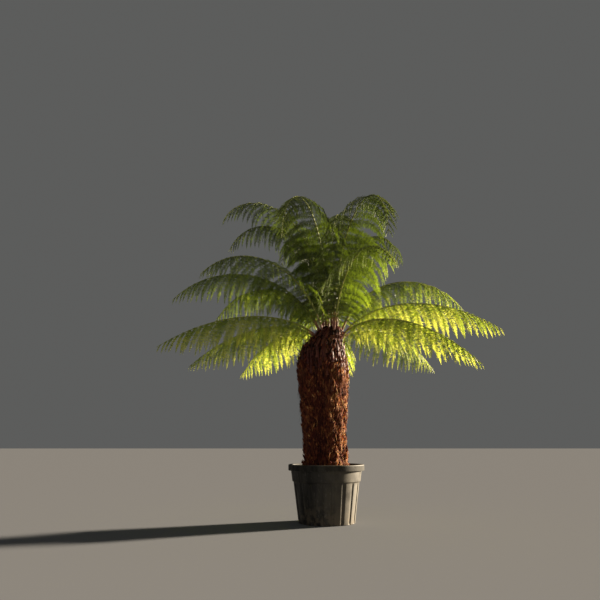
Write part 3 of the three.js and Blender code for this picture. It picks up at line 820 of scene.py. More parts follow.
def trunk_mesh():
    """The trunk's core, with its relief in the mesh and the depth of it as an attribute."""
    low, high = TRUNK_STATIONS[0, 0], TRUNK_STATIONS[-1, 0]
    heights = np.linspace(low, high, TRUNK_ROWS)
    radii, leans = trunk_at(heights)
    rounding = np.linspace(0, math.pi / 2, TRUNK_TOP_ROWS + 1)[1:-1]
    heights = np.append(heights, high + (TRUNK_TIP[2] - high) * np.sin(rounding))
    radii = np.append(radii, radii[-1] * np.cos(rounding))
    leans = np.append(leans, np.full(len(rounding), TRUNK_TIP[0]))
    rings = np.empty((len(heights), TRUNK_COLUMNS, 3))
    depth = np.empty((len(heights), TRUNK_COLUMNS))
    for row, (height, radius, lean) in enumerate(zip(heights, radii, leans)):
        narrow = min(1, radius / NARROW)
        hold = min(1, row / END_ROWS) * narrow
        for column in range(TRUNK_COLUMNS):
            turn = 2 * math.pi * column / TRUNK_COLUMNS
            reach, depth[row, column] = bark_relief(turn, height)
            out = radius - COAT_DEPTH * narrow + hold * reach
            rings[row, column] = (lean + out * math.cos(turn), out * math.sin(turn), height)
    made = from_rings("trunk_core", rings, (0, 0, low), TRUNK_TIP)
    cover = lerp(1, COAT_LEAST, ease((heights - COAT_ENDS[0]) / (COAT_ENDS[1] - COAT_ENDS[0])))
    # The relief's depth, lowered towards the top, sets the crevices' painted shade and the ridges'
    # colour
    give(made, "relief", np.append((depth * cover[:, None]).ravel(), (TIP_DEPTH, TIP_DEPTH)))
    cover[heights > TRUNK_STATIONS[-2, 0]] = 0
    # Painted light: how squarely each column faces the side painted paler
    turns = np.linspace(0, 2 * math.pi, TRUNK_COLUMNS, endpoint=False)
    sunny = np.clip(np.cos(turns - PAINTED_LIGHT_TURN), 0, 1)
    give(made, "sunny", np.append(np.broadcast_to(sunny, depth.shape).ravel(), (0, 0)))
    tufted = np.clip((depth - TUFT_ENDS[0]) / (TUFT_ENDS[1] - TUFT_ENDS[0]), 0, 1)
    give(made, "cover", np.append((tufted * cover[:, None]).ravel(), (0, 0)))
    return made


def trunk_finish():
    """Matted roots: rust on the mat, painted shade in the crevices, and orange on the ridges, in part
    a painted highlight, with greyer patches; painted light on the lit side's front, painted shade on
    its back."""
    material, tree, shader = shaded("root_mat")
    depth = node(tree, "ShaderNodeAttribute", attribute_name="relief").outputs["Fac"]
    strands = mask_of(tree, *TRUNK_STRANDS)
    # Painted light: the mat is paler on the lit side
    sunny = node(tree, "ShaderNodeAttribute", attribute_name="sunny").outputs["Fac"]
    matted = mixed(tree, sunny, TRUNK_TONES["mat"], TRUNK_TONES["sunny_mat"])
    # Painted shade in the crevices; the ridges' paler fibre is in part a painted highlight
    mat = mixed(tree, ramped(tree, depth, *MAT_DEPTHS), TRUNK_TONES["crevice"], matted)
    ridge = times(tree, ramped(tree, depth, *RIDGE_DEPTHS), strands)
    ridged = mixed(tree, ridge, mat, TRUNK_TONES["ridge"])
    grey = times(tree, mask_of(tree, *GREY_PATCHES), GREY_MOST)
    greyed = mixed(tree, grey, ridged, TRUNK_TONES["grey"])
    normal = node(tree, "ShaderNodeTexCoord").outputs["Normal"]
    # Painted shade: darker on the back of the lit side
    damp = times(tree, facing(tree, normal, PAINTED_SHADE_SIDE, PAINTED_SHADE_FOCUS), PAINTED_SHADE_MOST)
    surfaced(tree, shader, mixed(tree, damp, greyed, TRUNK_TONES["damp"]), MAT_ROUGHNESS, MAT_SHINE)
    bumped(tree, shader, strands, STRAND_RELIEF)
    return material


trunk = in_scene("trunk_core", trunk_mesh())
finished(trunk, "trunk", ["trunk"], trunk_finish())


# The trunk's coat: short torn stalk bases that point up and out, and thin dead roots that run
# down it. They grow from the mat, stiff and dry, brown to orange, painted paler on the front of
# the lit side as painted light, and darker on its back as painted shade.
COAT_TONES = {
    "coat_maroon": (0.044, 0.008, 0.006),
    "coat_brown": (0.128, 0.024, 0.013),
    "coat_rust": (0.190, 0.056, 0.018),
    "coat_orange": (0.290, 0.112, 0.032),
    "coat_straw": (0.520, 0.290, 0.110),
}
FIBRE_STRANDS = (260, 0.4, 0.6, (1, 1, 0.1))
FIBRE_PALER = 1.45
FIBRE_ROUGHNESS = 0.85
FIBRE_SHINE = 0.3
# Painted light on the front of the lit side and painted shade on its back, for the coat and its hairs
PAINTED_LIGHT_AND_SHADE = {"painted_lit_side": (0.906, -0.423, 0.0), "paler": 0.54, "damp": PAINTED_SHADE_SIDE, "darker": 0.60}
SPLINTERS = (  # start across, width, length, outward bend, and how it leans across
    (-0.26, 0.46, 0.74, 0.8, -0.06),
    (0.00, 0.40, 1.00, 0.5, 0.14),
    (0.27, 0.44, 0.56, 0.7, 0.10),
)
SPLINTER_WAIST = (0.55, 0.8, 0.3)  # its height, width and bend there, as shares of the whole
ROOT_STEPS = 4
ROOT_TAPER = 0.7
SCALES = {
    "per_area": 5200.0,
    "smallest": (0.004, 0.006, 0.014),
    "largest": (0.010, 0.013, 0.040),
    "outward": 0.22,
    "play": 0.34,
    "seed": 21,
}
ROOTS = {
    "per_area": 10000.0,
    "smallest": (0.002, 0.0010, 0.02),
    "largest": (0.009, 0.0028, 0.08),
    "outward": 0.05,
    "play": 0.30,
    "seed": 22,
}


def fibrous(name, tone, roughness=FIBRE_ROUGHNESS):
    """Dry fibre of one colour, paler along its strands."""
    material, tree, shader = shaded(name)
    pale = tuple(min(1, FIBRE_PALER * part) for part in tone)
    colour = mixed(tree, mask_of(tree, *FIBRE_STRANDS), tone, pale)
    surfaced(tree, shader, colour, roughness, FIBRE_SHINE)
    return material


def scale_mesh():
    """A torn stalk base: splinters of different lengths that part and bend out."""
    points, faces = [], []
    waist_height, waist_width, waist_bend = SPLINTER_WAIST
    for start, width, length, bend, parting in SPLINTERS:
        waist = (waist_height * length, waist_width, waist_bend * bend)
        for height, share, out in ((0, 1, 0), waist):
            half = width * share / 2
            middle = start + parting * height
            points += [
                (out - 0.5, middle, height),
                (out, middle - half, height),
                (out + half, middle, height),
                (out, middle + half, height),
            ]
        first = len(points) - 8
        points.append((bend, start + parting * length, length))
        for side in range(4):
            a, b = first + side, first + (side + 1) % 4
            faces += [(a, b, b + 4, a + 4), (a + 4, b + 4, first + 8)]
        faces.append((first + 3, first + 2, first + 1, first))
    return mesh_of("scale", points, faces)


def root_mesh():
    """A thin strand, bowed out from the trunk between its ends."""
    points = []
    for step in range(ROOT_STEPS + 1):
        share = step / ROOT_STEPS
        out = math.sin(math.pi * share)
        width = 1 - ROOT_TAPER * share
        points += [(out, -width / 2, -share), (out, width / 2, -share)]
    faces = [(a, a + 2, a + 3, a + 1) for a in range(0, 2 * ROOT_STEPS, 2)]
    return mesh_of("root", points, faces)


coat_tree = strewn_tree("strewn_coat", [fibrous(name, tone) for name, tone in COAT_TONES.items()])
for name, pattern, values in (
    ("torn_stalk_bases", scale_mesh(), SCALES),
    ("dead_roots", root_mesh(), ROOTS),
):
    coat = grown(name, trunk.data, coat_tree, pattern, **values, **PAINTED_LIGHT_AND_SHADE)
    finished(coat, "trunk", ["trunk"])


# The stubs: what is left of old stalks that died back, woody strands that stand close
# together and bend in over the trunk's top. Thin rust-red hairs stand out between them, and
# the same hairs cover the feet of the living stalks.
STUBS = 330
STUB_HEIGHTS = (1.200, 1.600)
STUB_CROWDING = 0.62  # under 1 sets more of them near the top
STUB_LENGTHS = (0.120, 0.200)
STUB_SHORTER = 0.45  # by how much they are shorter at the top
STUB_RADIUS = 0.0125
STUB_WIDTHS = (0.7, 1.35)
STUB_FLATNESS = 0.85
STUB_SUNK = 0.026
STUB_FOLLOW = 1.0  # how closely they follow the trunk's slope
STUB_LEAN = 0.04  # outward for each unit upward
STUB_STRAY = 0.07
STUB_TURN_PLAY = 0.12
STUB_SPAN = 0.04  # over which the trunk's slope is measured
STUB_SIDES = 8
STUB_RINGS = (  # height, width, and how far it bends in
    (0, 1.0, 0),
    (0.22, 0.92, 0),
    (0.48, 0.80, 0.2),
    (0.72, 0.70, 0.6),
    (0.92, 0.56, 1.1),
    (1.0, 0.30, 1.3),
)
STUB_TORN = 0.06  # how uneven the torn end is
STUB_TORN_POINTS = 5
STUB_TORN_FROM = 0.8
STUB_TORN_PALER = 0.12
STUB_ROUGHNESS = 0.5
GOLDEN_TURN = math.radians(137.508)
STUB_TONES = {
    "stub_maroon": (0.034, 0.007, 0.007),
    "stub_red": (0.070, 0.016, 0.013),
    "stub_brown": (0.130, 0.044, 0.030),
    "stub_pale": (0.340, 0.170, 0.110),
}
STUB_TONE = 0.30  # 0 the darkest, 1 the palest
STUB_TONE_PLAY = 0.28
STUB_PAINTED_LIGHT = 0.22  # painted light: how much paler they are on the lit side
HAIR_TONES = {
    "hair_red": (0.090, 0.018, 0.011),
    "hair_rust": (0.220, 0.058, 0.022),
}
HAIRS = {
    "per_area": 2600.0,
    "smallest": (0.003, 0.0008, 0.012),
    "largest": (0.008, 0.0016, 0.034),
    "outward": 0.35,
    "play": 0.35,
    # the coat's painted light and painted shade
    **PAINTED_LIGHT_AND_SHADE,
}


def stub_mesh():
    """A strand a unit long and wide, which narrows to a torn end and bends in."""
    points, faces, pale = [], [], []
    for height, width, bend in STUB_RINGS:
        near_end = ease((height - STUB_TORN_FROM) / (1 - STUB_TORN_FROM))
        for side in range(STUB_SIDES):
            turn = 2 * math.pi * side / STUB_SIDES
            torn = STUB_TORN * math.sin(STUB_TORN_POINTS * turn) * near_end
            points.append((
                width * math.cos(turn) - bend,
                width * STUB_FLATNESS * math.sin(turn),
                height + torn,
            ))
            pale.append(STUB_TORN_PALER * near_end)
    for ring in range(len(STUB_RINGS) - 1):
        for side in range(STUB_SIDES):
            a, b = STUB_SIDES * ring + side, STUB_SIDES * ring + (side + 1) % STUB_SIDES
            faces.append((a, b, b + STUB_SIDES, a + STUB_SIDES))
    faces.append([STUB_SIDES * (len(STUB_RINGS) - 1) + side for side in range(STUB_SIDES)])
    faces.append(range(STUB_SIDES)[::-1])
    made = mesh_of("stub", points, faces)
    give(made, "pale", pale)
    give(made, "cover", np.ones(len(points)))
    for face in made.polygons:
        face.use_smooth = len(face.vertices) == 4
    return made


def stub_places():
    """Points for the stubs in a rising spiral, with their direction, facing, size and tone."""
    dice = random.Random(40)
    points, grows, faces_out, sizes, tones = [], [], [], [], []
    for stub in range(STUBS):
        share = (stub / (STUBS - 1)) ** STUB_CROWDING
        height = lerp(*STUB_HEIGHTS, share)
        radius, lean = (float(value) for value in trunk_at(height))
        turn = GOLDEN_TURN * stub + dice.uniform(-STUB_TURN_PLAY, STUB_TURN_PLAY)
        out = Vector((math.cos(turn), math.sin(turn), 0))
        place = Vector((lean, 0, height)) + out * (radius - STUB_SUNK)
        stray = Vector([dice.uniform(-STUB_STRAY, STUB_STRAY) for _ in range(3)])
        above, lean_above = (float(value) for value in trunk_at(height + STUB_SPAN))
        slope = out * (above - radius) + Vector((lean_above - lean, 0, 0))
        points.append(place)
        upright = Vector((0, 0, 1)) + out * STUB_LEAN
        grows.append(upright + slope * (STUB_FOLLOW / STUB_SPAN) + stray)
        faces_out.append(out)
        width = STUB_RADIUS * dice.uniform(*STUB_WIDTHS)
        sizes.append((width, width, dice.uniform(*STUB_LENGTHS) * (1 - STUB_SHORTER * share)))
        # Painted light: stubs are paler on the lit side
        sunny = STUB_PAINTED_LIGHT * math.cos(turn - PAINTED_LIGHT_TURN)
        tones.append(STUB_TONE + STUB_TONE_PLAY * dice.uniform(-1, 1) + sunny)
    made = mesh_of("stub_places", points, ())
    for name, vectors in (("grows", grows), ("faces_out", faces_out), ("size", sizes)):
        give(made, name, vectors, "FLOAT_VECTOR")
    give(made, "tone", tones)
    return made


def placed_tree(materials):
    """Copies of a piece, one on each point, turned, sized and coloured by the point's values."""
    inputs = {"Geometry": "Geometry", "Piece": "Object"}
    tree, given, out = new_tree("GeometryNodeTree", "placed", inputs, {"Geometry": "Geometry"})
    grows, faces_out, size = [
        stored_as(tree, name, "FLOAT_VECTOR") for name in ("grows", "faces_out", "size")
    ]
    placed = instanced(tree, given["Geometry"], given["Piece"], "Z", grows, "X", faces_out, size)
    picked = reckoned(tree, "ADD", stored_as(tree, "tone"), stored_as(tree, "pale"))
    marked = storing(tree, realized(tree, placed), "pick", picked)
    tree.links.new(dealt(tree, marked, "pick", materials), out["Geometry"])
    return tree


def hair_mesh():
    """A flat hair a unit long, bent out to its tip."""
    points = [(0, -0.5, 0), (0, 0.5, 0), (0.4, -0.4, 0.5), (0.4, 0.4, 0.5), (1, 0, 1)]
    return mesh_of("hair", points, [(0, 1, 3, 2), (2, 3, 4)])


stub_finishes = [fibrous(name, tone, STUB_ROUGHNESS) for name, tone in STUB_TONES.items()]
stubs = grown("old_stalk_stubs", stub_places(), placed_tree(stub_finishes), stub_mesh())
hair = hair_mesh()
hair_tree = strewn_tree("strewn_hairs", [fibrous(name, tone) for name, tone in HAIR_TONES.items()])
hairs = grown("stub_hairs", stubs.data, hair_tree, hair, seed=31, **HAIRS)
for piece in (stubs, hairs):
    finished(piece, "trunk", ["trunk"])


# The fronds' ribs: each stalk rises from the growing tip and runs on as the frond's rib, in
# three whorls of seven. It is woody, waxy and green, with a brown, hairy foot, and a thin
# midrib leaves it on each side for every leaflet.
CROWN_LEAN = 0.052
# The tones, 0 the darkest green and 1 the palest, are partly the older fronds' yellower green and
# partly painted light: the upper whorl is painted darker and the lower one paler.
WHORLS = {  # angles in degrees, lengths in metres
    "upper_frond": {
        "fronds": [
            {"bearing": 80, "bend": 3.4, "length": 2.060},
            # painted shade: this front frond is darker than its whorl
            {"bearing": -74, "rise": 82, "tip_slope": -87, "bend": 1.6, "length": 2.11, "tone": 0.06},
            {"bearing": -105, "rise": 83, "tip_slope": -87, "bend": 1.55, "length": 2.145},
            {"bearing": 38},
            {"bearing": 122},
            {"bearing": 166},
            {"bearing": -157},
        ],
        "root": (0.064, 1.600),  # radius round the crown's middle, and height
        "rise": 86,
        "tip_slope": -76,
        "bend": 2.3,
        "length": 1.840,
        "droop": (26, 72),
        "tone": 0.16,
    },
    "middle_frond": {
        "fronds": [
            # painted shade: this front frond is darker than its whorl
            {"bearing": -77, "tone": 0.20},
            {"bearing": 20},
            {"bearing": 61},
            {"bearing": 103},
            {"bearing": 146},
            {"bearing": -172},
            {"bearing": -138},
        ],
        "root": (0.088, 1.585),
        "rise": 69,
        "tip_slope": -48,
        "bend": 1.05,
        "length": 1.660,
        "droop": (30, 70),
        "tone": 0.34,
    },
    "lower_frond": {
        "fronds": [
            {"bearing": -47, "rise": 56, "tip_slope": -43, "bend": 0.45},
            {"bearing": -18, "rise": 84, "tip_slope": -38, "bend": 0.46, "length": 1.570},
            {"bearing": 41},
            {"bearing": 83},
            {"bearing": 126},
            {"bearing": 157},
            {"bearing": -161, "tip_slope": -38},
        ],
        "root": (0.102, 1.540),
        "rise": 60,
        "tip_slope": -36,
        "bend": 0.46,
        "length": 1.500,
        "droop": (38, 70),
        "tone": 0.58,
    },
}
HALVES = {"a": range(0, 4), "b": range(4, 7)}  # a whorl's fronds are joined in two pieces
SLOPE_PLAY = 3
LENGTH_PLAY = 0.03
SIDE_SWEEP = 8
RIB_STEPS = 160
RIB_SIDES = 8
RIB_RADII = (0.0105, 0.0016)
RIB_TAPER = 0.8
STALK_SHARE = 0.09
STALK_BROWN = 0.04  # share of the length that is brown
STALK_TURNS = 0.14  # and over which it turns green
STALK_HAIRY = 0.12
RIB_TONE_ENDS = (0.05, 0.9)  # at the foot and the tip, 0 the brownest, 1 the greenest
RIB_KEPT = 4  # of these stations, one goes into the mesh
PAIR_SPACE = 0.053  # at which the leaflets follow each other
BARE_TIP = 0.3  # the rib beyond the last pair, in spaces
LEAFLET_LENGTH = 0.360
LEAFLET_SWELL = {  # how their length grows and shrinks again along the frond
    "from": 0.12,
    "over": 0.85,
    "late": 0.85,
    "full": 0.8,
}
LEAFLET_SEAT = 0.7  # share of the rib's radius at which its root lies
LEAFLET_FORWARD = (6, 56)
LEAFLET_TURN = 1.3
LEAFLET_STEPS = 8
LEAFLET_KNEE = 0.5
LEAFLET_STIFF = 0.35
LEAFLET_PLAY = {"droop": 7, "forward": 4, "length": 0.06, "roll": 0.18, "tone": 0.15}
FROND_TONE_PLAY = 0.07
LEAFLET_LEAST = 4  # points that a leaflet keeps where the trunk cuts it short
MIDRIB_RADII = (0.0021, 0.0006)
MIDRIB_SIDES = 3
MIDRIB_TONES = {"dark": 0.62, "light": 0.92, "turn": 0.4}
TRUNK_MARGIN = 0.03
STALK_SHADE = 0.72
STALK_MOTTLE = (60, 0.4, 0.65, (1, 1, 0.3))
STALK_ROUGHNESS = 0.5
RIB_TONES = {
    "stalk_brown": (0.290, 0.120, 0.074),
    "stalk_tan": (0.380, 0.230, 0.080),
    "stalk_olive": (0.340, 0.285, 0.060),
    "rib_green": (0.270, 0.300, 0.055),
    "rib_lime": (0.380, 0.400, 0.085),
}


def frond_of(whorl_name, place):
    """A frond's values: its whorl's, then its own, each varied a little."""
    whorl = WHORLS[whorl_name]
    frond = {**whorl, **whorl["fronds"][place]}
    seed = place + 10 * list(WHORLS).index(whorl_name)
    frond["seed"] = seed
    frond["rise"] += SLOPE_PLAY * play(seed, 2)
    frond["tip_slope"] += SLOPE_PLAY * play(seed, 3)
    frond["length"] *= 1 + LENGTH_PLAY * play(seed, 4)
    frond["sweep"] = SIDE_SWEEP * play(seed, 5)
    frond["pairs"] = round(frond["length"] * (1 - STALK_SHARE) / PAIR_SPACE)
    return frond


def rib_of(frond):
    """The rib's stations from foot to tip: place, direction, side and slope."""
    bearing = math.radians(frond["bearing"])
    radius, height = frond["root"]
    place = Vector((CROWN_LEAN + radius * math.cos(bearing), radius * math.sin(bearing), height))
    stations = []
    for i in range(RIB_STEPS + 1):
        share = i / RIB_STEPS
        slope = math.radians(lerp(frond["rise"], frond["tip_slope"], share ** frond["bend"]))
        heading = bearing + math.radians(frond["sweep"]) * share * share
        onward = Vector((
            math.cos(slope) * math.cos(heading),
            math.cos(slope) * math.sin(heading),
            math.sin(slope),
        ))
        side = Vector((math.sin(heading), -math.cos(heading), 0))
        stations.append((place.copy(), onward, side, slope))
        place += onward * (frond["length"] / RIB_STEPS)
    return stations


def rib_radius(share):
    return lerp(*RIB_RADII, share ** RIB_TAPER)


def leaflet_shape(share):
    """How long the leaflets are, as a share of the longest, from the stalk to the tip."""
    at = LEAFLET_SWELL["from"] + LEAFLET_SWELL["over"] * share ** LEAFLET_SWELL["late"]
    return math.sin(math.pi * at) ** LEAFLET_SWELL["full"]


def clear_of_trunk(point):
    """Whether a leaflet may reach this point without touching the trunk."""
    radius, lean = trunk_at(point.z)
    return point.z > TRUNK_TIP[2] or math.hypot(point.x - lean, point.y) > radius + TRUNK_MARGIN


def leaflet_of(frond, rib, pair, hand, dice):
    """A leaflet's midrib: a curve from the rib over its knee to its hanging tip, the normal of
    its upper face, and its length."""
    space = (1 - STALK_SHARE) / (frond["pairs"] + BARE_TIP)
    share = STALK_SHARE + space * (pair + 0.5)
    step = min(share * RIB_STEPS, RIB_STEPS - 0.001)
    here, further = rib[int(step)], rib[int(step) + 1]
    place, onward, side, slope = (lerp(a, b, step - int(step)) for a, b in zip(here, further))
    length = LEAFLET_LENGTH * leaflet_shape((pair + 0.5) / frond["pairs"])
    length *= 1 + LEAFLET_PLAY["length"] * dice.uniform(-1, 1)
    stray = LEAFLET_PLAY["forward"] * dice.uniform(-1, 1)
    forward = math.radians(lerp(*LEAFLET_FORWARD, share**LEAFLET_TURN) + stray)
    sideways = side * hand
    level = sideways * math.cos(forward) + onward * math.sin(forward)
    hang = lerp(LEAFLET_STIFF, 1, math.cos(slope))
    stray = LEAFLET_PLAY["droop"] * dice.uniform(-1, 1)
    inner, outer = [
        (level * math.cos(down) - Vector((0, 0, math.sin(down)))).normalized()
        for down in (math.radians(angle * hang + stray) for angle in frond["droop"])
    ]
    root = place + sideways * (rib_radius(share) * LEAFLET_SEAT)
    knee = root + inner * (length * LEAFLET_KNEE)
    tip = knee + outer * (length * (1 - LEAFLET_KNEE))
    pull = 2 * knee - (root + tip) / 2
    curve = []
    for i in range(LEAFLET_STEPS + 1):
        point = quadratic(root, pull, tip, i / LEAFLET_STEPS)
        if i > 1 and not clear_of_trunk(point):
            break
        curve.append(point)
    across = (onward - inner * onward.dot(inner)).normalized()
    over = inner.cross(across) * hand
    over = (over + across * (LEAFLET_PLAY["roll"] * dice.uniform(-1, 1))).normalized()
    return curve, over, length


class Paths:
    """Collects open lines of points with their values, for a tree to follow."""

    def __init__(self):
        self.points = []
        self.edges = []
        self.values = {}

    def add(self, points, **values):
        first = len(self.points)
        self.points.extend(points)
        self.edges.extend((i, i + 1) for i in range(first, first + len(points) - 1))
        for name, value in values.items():
            self.values.setdefault(name, []).extend(value)

    def mesh(self):
        made = mesh_of("lines", self.points, (), self.edges)
        for label, values in self.values.items():
            give(made, label, values, "FLOAT_VECTOR" if isinstance(values[0], Vector) else "FLOAT")
        return made


def tube_tree(name, materials):
    """Tubes along lines, as thick as each point's Thick, in the materials that Tone picks."""
    inputs = {"Geometry": "Geometry", "Sides": 8}
    tree, given, out = new_tree("GeometryNodeTree", name, inputs, {"Geometry": "Geometry"})
    line = node(tree, "GeometryNodeMeshToCurve", {0: given["Geometry"]}).outputs[0]
    circle = {"Resolution": given["Sides"], "Radius": 1.0}
    ring = node(tree, "GeometryNodeCurvePrimitiveCircle", circle).outputs[0]
    thick = stored_as(tree, "thick")
    links = {"Curve": line, "Profile Curve": ring, "Scale": thick, "Fill Caps": True}
    tube = node(tree, "GeometryNodeCurveToMesh", links).outputs[0]
    smooth = node(tree, "GeometryNodeSetShadeSmooth", {0: tube}).outputs[0]
    tree.links.new(dealt(tree, realized(tree, smooth), "tone", materials), out["Geometry"])
    return tree


def stalky(name, tone):
    """A waxy green or brown stem, mottled along its length."""
    material, tree, shader = shaded(name)
    dark = tuple(STALK_SHADE * part for part in tone)
    surfaced(tree, shader, mixed(tree, mask_of(tree, *STALK_MOTTLE), tone, dark), STALK_ROUGHNESS)
    return material


def fronds_in(whorl_name, places):
    """The lines of some of a whorl's fronds: the ribs, and the leaflets' midribs."""
    ribs, midribs = Paths(), Paths()
    for place in places:
        frond = frond_of(whorl_name, place)
        dice = random.Random(500 + frond["seed"])
        rib = rib_of(frond)
        kept = rib[::RIB_KEPT]
        shares = [i / (len(kept) - 1) for i in range(len(kept))]
        greens = [ease((share - STALK_BROWN) / STALK_TURNS) for share in shares]
        ribs.add(
            [station[0] for station in kept],
            thick=[rib_radius(share) for share in shares],
            tone=[lerp(*RIB_TONE_ENDS, green) for green in greens],
            cover=[float(share < STALK_HAIRY) for share in shares],
        )
        # The frond's tone, with its painted shade and light, passes to its leaflets and midribs
        frond_tone = frond["tone"] + FROND_TONE_PLAY * play(frond["seed"], 6)
        for pair in range(frond["pairs"]):
            for hand in (1, -1):
                curve, over, length = leaflet_of(frond, rib, pair, hand, dice)
                count = len(curve)
                if count < LEAFLET_LEAST:
                    continue
                tone = frond_tone + LEAFLET_PLAY["tone"] * dice.uniform(-1, 1)
                shade = "light" if tone > MIDRIB_TONES["turn"] else "dark"
                midribs.add(
                    curve,
                    thick=[lerp(*MIDRIB_RADII, i / count) for i in range(count)],
                    tone=[MIDRIB_TONES[shade]] * count,
                    over=[over] * count,
                    reach=[length / LEAFLET_LENGTH] * count,
                    leaf_tone=[tone] * count,
                )
    return ribs, midribs


def replaced_by(whorl_name, half):
    """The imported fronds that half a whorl's pieces stand for."""
    return [f"{whorl_name}_{place + 1}" for place in HALVES[half]]


whorl_paths = {
    (whorl_name, half): fronds_in(whorl_name, places)
    for whorl_name in WHORLS
    for half, places in HALVES.items()
}
rib_tree = tube_tree("ribs", [stalky(name, tone) for name, tone in RIB_TONES.items()])
for (whorl_name, half), (rib_paths, midrib_paths) in whorl_paths.items():
    ribs = grown(f"{whorl_name}_ribs_{half}", rib_paths.mesh(), rib_tree, sides=RIB_SIDES)
    tufts = grown(f"{whorl_name}_hairs_{half}", ribs.data, hair_tree, hair, seed=41, **HAIRS)
    midribs = grown(f"{whorl_name}_midribs_{half}", midrib_paths.mesh(), rib_tree, sides=MIDRIB_SIDES)
    for piece in (ribs, tufts, midribs):
        finished(piece, "frond", replaced_by(whorl_name, half))


# The leaflets' blades: each is cut again, down both sides of its midrib, into many small
# toothed leaves. They are thin, stiff and glossy above, paler below, and let light through.
BLADES = {
    "Space": 0.0097,
    "Width": 0.0190,
    "Longest": 0.0360,
    "Lean": 0.34,  # towards the leaflet's tip
    "Droop": 0.16,
    "Play": 0.16,  # in length
    "Fade": 0.30,  # painted light: how much brighter a leaflet is at its tip than at its foot
}
BLADE_ROLL = 0.5
BLADE_TEETH = 6
BLADE_TOOTH_SLANT = 1.05  # how far along its side a tooth's point lies
BLADE_NARROWING = (1.9, 0.7)  # powers, for how late it narrows and how round its sides are
BLADE_END_WIDTH = 0.12
BLADE_FIRST_TOOTH = 0.8  # how wide it is against the rest
BLADE_LAST_TOOTH = 0.99  # how far along the leaf it ends
BLADE_HANG = (0.10, 0.16)  # how far the leaf bends down at its tip, and its teeth at their ends
BLADE_TONE_PLAY = 0.13
BLADE_OUTLINE = ((0, 0.70), (0.12, 0.95), (0.40, 1.0), (0.66, 0.84), (0.86, 0.44), (1, 0.10))
THROUGH = np.array((2.5, 2.35, 1.3))  # the colour of the light that comes through
THROUGH_SHARE = 0.34
LEAF_MOTTLE = (34, 0.38, 0.62)
LEAF_SHADE = 0.78
LEAF_UNDERSIDE = (1.12, 0.018)  # how many times paler it is below, and how much is added
LEAF_ROUGHNESS = 0.32
LEAF_SHINE = 0.70
LEAF_TONES = {
    "leaf_deep": (0.030, 0.048, 0.004),
    "leaf_olive": (0.056, 0.085, 0.006),
    "leaf_green": (0.104, 0.158, 0.010),
    "leaf_bright": (0.195, 0.258, 0.024),
    "leaf_lime": (0.375, 0.415, 0.085),
}


def blade_mesh():
    """One small leaf, a unit long and wide: pointed teeth along both sides of its vein."""
    tip_hang, side_hang = BLADE_HANG
    points, faces = [], []
    for i in range(BLADE_TEETH + 1):
        share = i / BLADE_TEETH
        points.append((share, 0, -tip_hang * share * share))
    late, round_sides = BLADE_NARROWING
    for i in range(BLADE_TEETH):
        share = (i + BLADE_TOOTH_SLANT) / BLADE_TEETH
        width = (1 - share**late) ** round_sides if share < 1 else BLADE_END_WIDTH
        half = width / 2 * (BLADE_FIRST_TOOTH if i == 0 else 1)
        hang = tip_hang * share * share + side_hang * half
        for hand in (1, -1):
            points.append((min(share, BLADE_LAST_TOOTH), hand * half, -hang))
            tooth = len(points) - 1
            faces.append((i, i + 1, tooth) if hand > 0 else (i + 1, i, tooth))
    return mesh_of("blade", points, faces)


def leafy(name, tone):
    """Leaf of one green: glossy, mottled above and paler below, with light coming through."""
    material, tree, shader = shaded(name)
    backfacing = node(tree, "ShaderNodeNewGeometry").outputs["Backfacing"]
    times_paler, added = LEAF_UNDERSIDE
    pale = tuple(min(1, part * times_paler + added) for part in tone)
    dark = tuple(LEAF_SHADE * part for part in tone)
    above = mixed(tree, mask_of(tree, *LEAF_MOTTLE), tone, dark)
    surfaced(tree, shader, mixed(tree, backfacing, above, pale), LEAF_ROUGHNESS, LEAF_SHINE)
    through = node(tree, "ShaderNodeBsdfTranslucent", {"Color": (*THROUGH * np.array(tone), 1)})
    shares = {0: THROUGH_SHARE, 1: shader.outputs[0], 2: through.outputs[0]}
    both = node(tree, "ShaderNodeMixShader", shares)
    tree.links.new(both.outputs[0], tree.nodes["Material Output"].inputs["Surface"])
    return material


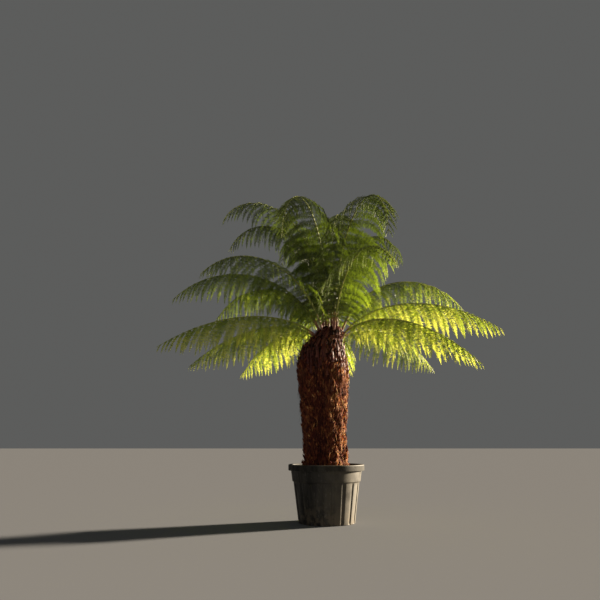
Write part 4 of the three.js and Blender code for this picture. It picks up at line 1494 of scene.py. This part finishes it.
def blade_tree(materials):
    """Small leaves down both sides of every midrib. They follow Over, the leaflet's upper
    face, and get longer and shorter again along the leaflet."""
    inputs = {"Geometry": "Geometry", "Piece": "Object", **BLADES}
    tree, given, out = new_tree("GeometryNodeTree", "blades", inputs, {"Geometry": "Geometry"})
    line = node(tree, "GeometryNodeMeshToCurve", {0: given["Geometry"]}).outputs[0]
    spacing = {"Curve": line, "Length": given["Space"]}
    spaced = node(tree, "GeometryNodeResampleCurve", spacing, mode="LENGTH").outputs[0]
    share = node(tree, "GeometryNodeSplineParameter").outputs["Factor"]
    # Painted light: the tone rises towards the leaflet's tip
    tone_with_painted_light = reckoned(tree, "MULTIPLY_ADD", share, given["Fade"], stored_as(tree, "leaf_tone"))
    chance = random_between(tree, -BLADE_TONE_PLAY, BLADE_TONE_PLAY, 3)
    marked = storing(tree, spaced, "pick", reckoned(tree, "ADD", tone_with_painted_light, chance))
    outline = node(tree, "ShaderNodeFloatCurve", {"Value": share})
    curve = outline.mapping.curves[0]
    curve.points[0].location, *between, curve.points[1].location = BLADE_OUTLINE
    for at in between:
        curve.points.new(*at)
    outline.mapping.update()
    fullness = times(tree, outline.outputs[0], stored_as(tree, "reach"))
    tangent = node(tree, "GeometryNodeInputTangent").outputs[0]
    over = stored_as(tree, "over", "FLOAT_VECTOR")
    side = vector_of(tree, "NORMALIZE", vector_of(tree, "CROSS_PRODUCT", tangent, over))
    onward = vector_of(tree, "SCALE", tangent, given["Lean"])
    sunk = times(tree, given["Droop"], -1.0)
    rows = node(tree, "GeometryNodeJoinGeometry")
    for hand, seed in ((1.0, 1), (-1.0, 2)):
        lifted = reckoned(tree, "ADD", sunk, random_between(tree, -BLADE_ROLL, BLADE_ROLL, seed))
        outward = vector_of(tree, "ADD", vector_of(tree, "SCALE", side, hand), onward)
        level = vector_of(tree, "ADD", outward, vector_of(tree, "SCALE", over, lifted))
        chance = random_between(tree, -1.0, 1.0, seed + 5)
        swell = reckoned(tree, "MULTIPLY_ADD", chance, given["Play"], 1.0)
        long = times(tree, times(tree, given["Longest"], fullness), swell)
        size = node(tree, "ShaderNodeCombineXYZ", {0: long, 1: given["Width"], 2: long}).outputs[0]
        row = instanced(tree, marked, given["Piece"], "X", level, "Z", over, size)
        tree.links.new(row, rows.inputs[0])
    real = realized(tree, rows.outputs[0])
    tree.links.new(dealt(tree, real, "pick", materials), out["Geometry"])
    return tree


leaf_tree = blade_tree([leafy(name, tone) for name, tone in LEAF_TONES.items()])
blade = blade_mesh()
for (whorl_name, half), (_, midrib_paths) in whorl_paths.items():
    blades = grown(f"{whorl_name}_blades_{half}", midrib_paths.mesh(), leaf_tree, blade)
    finished(blades, "frond", replaced_by(whorl_name, half))
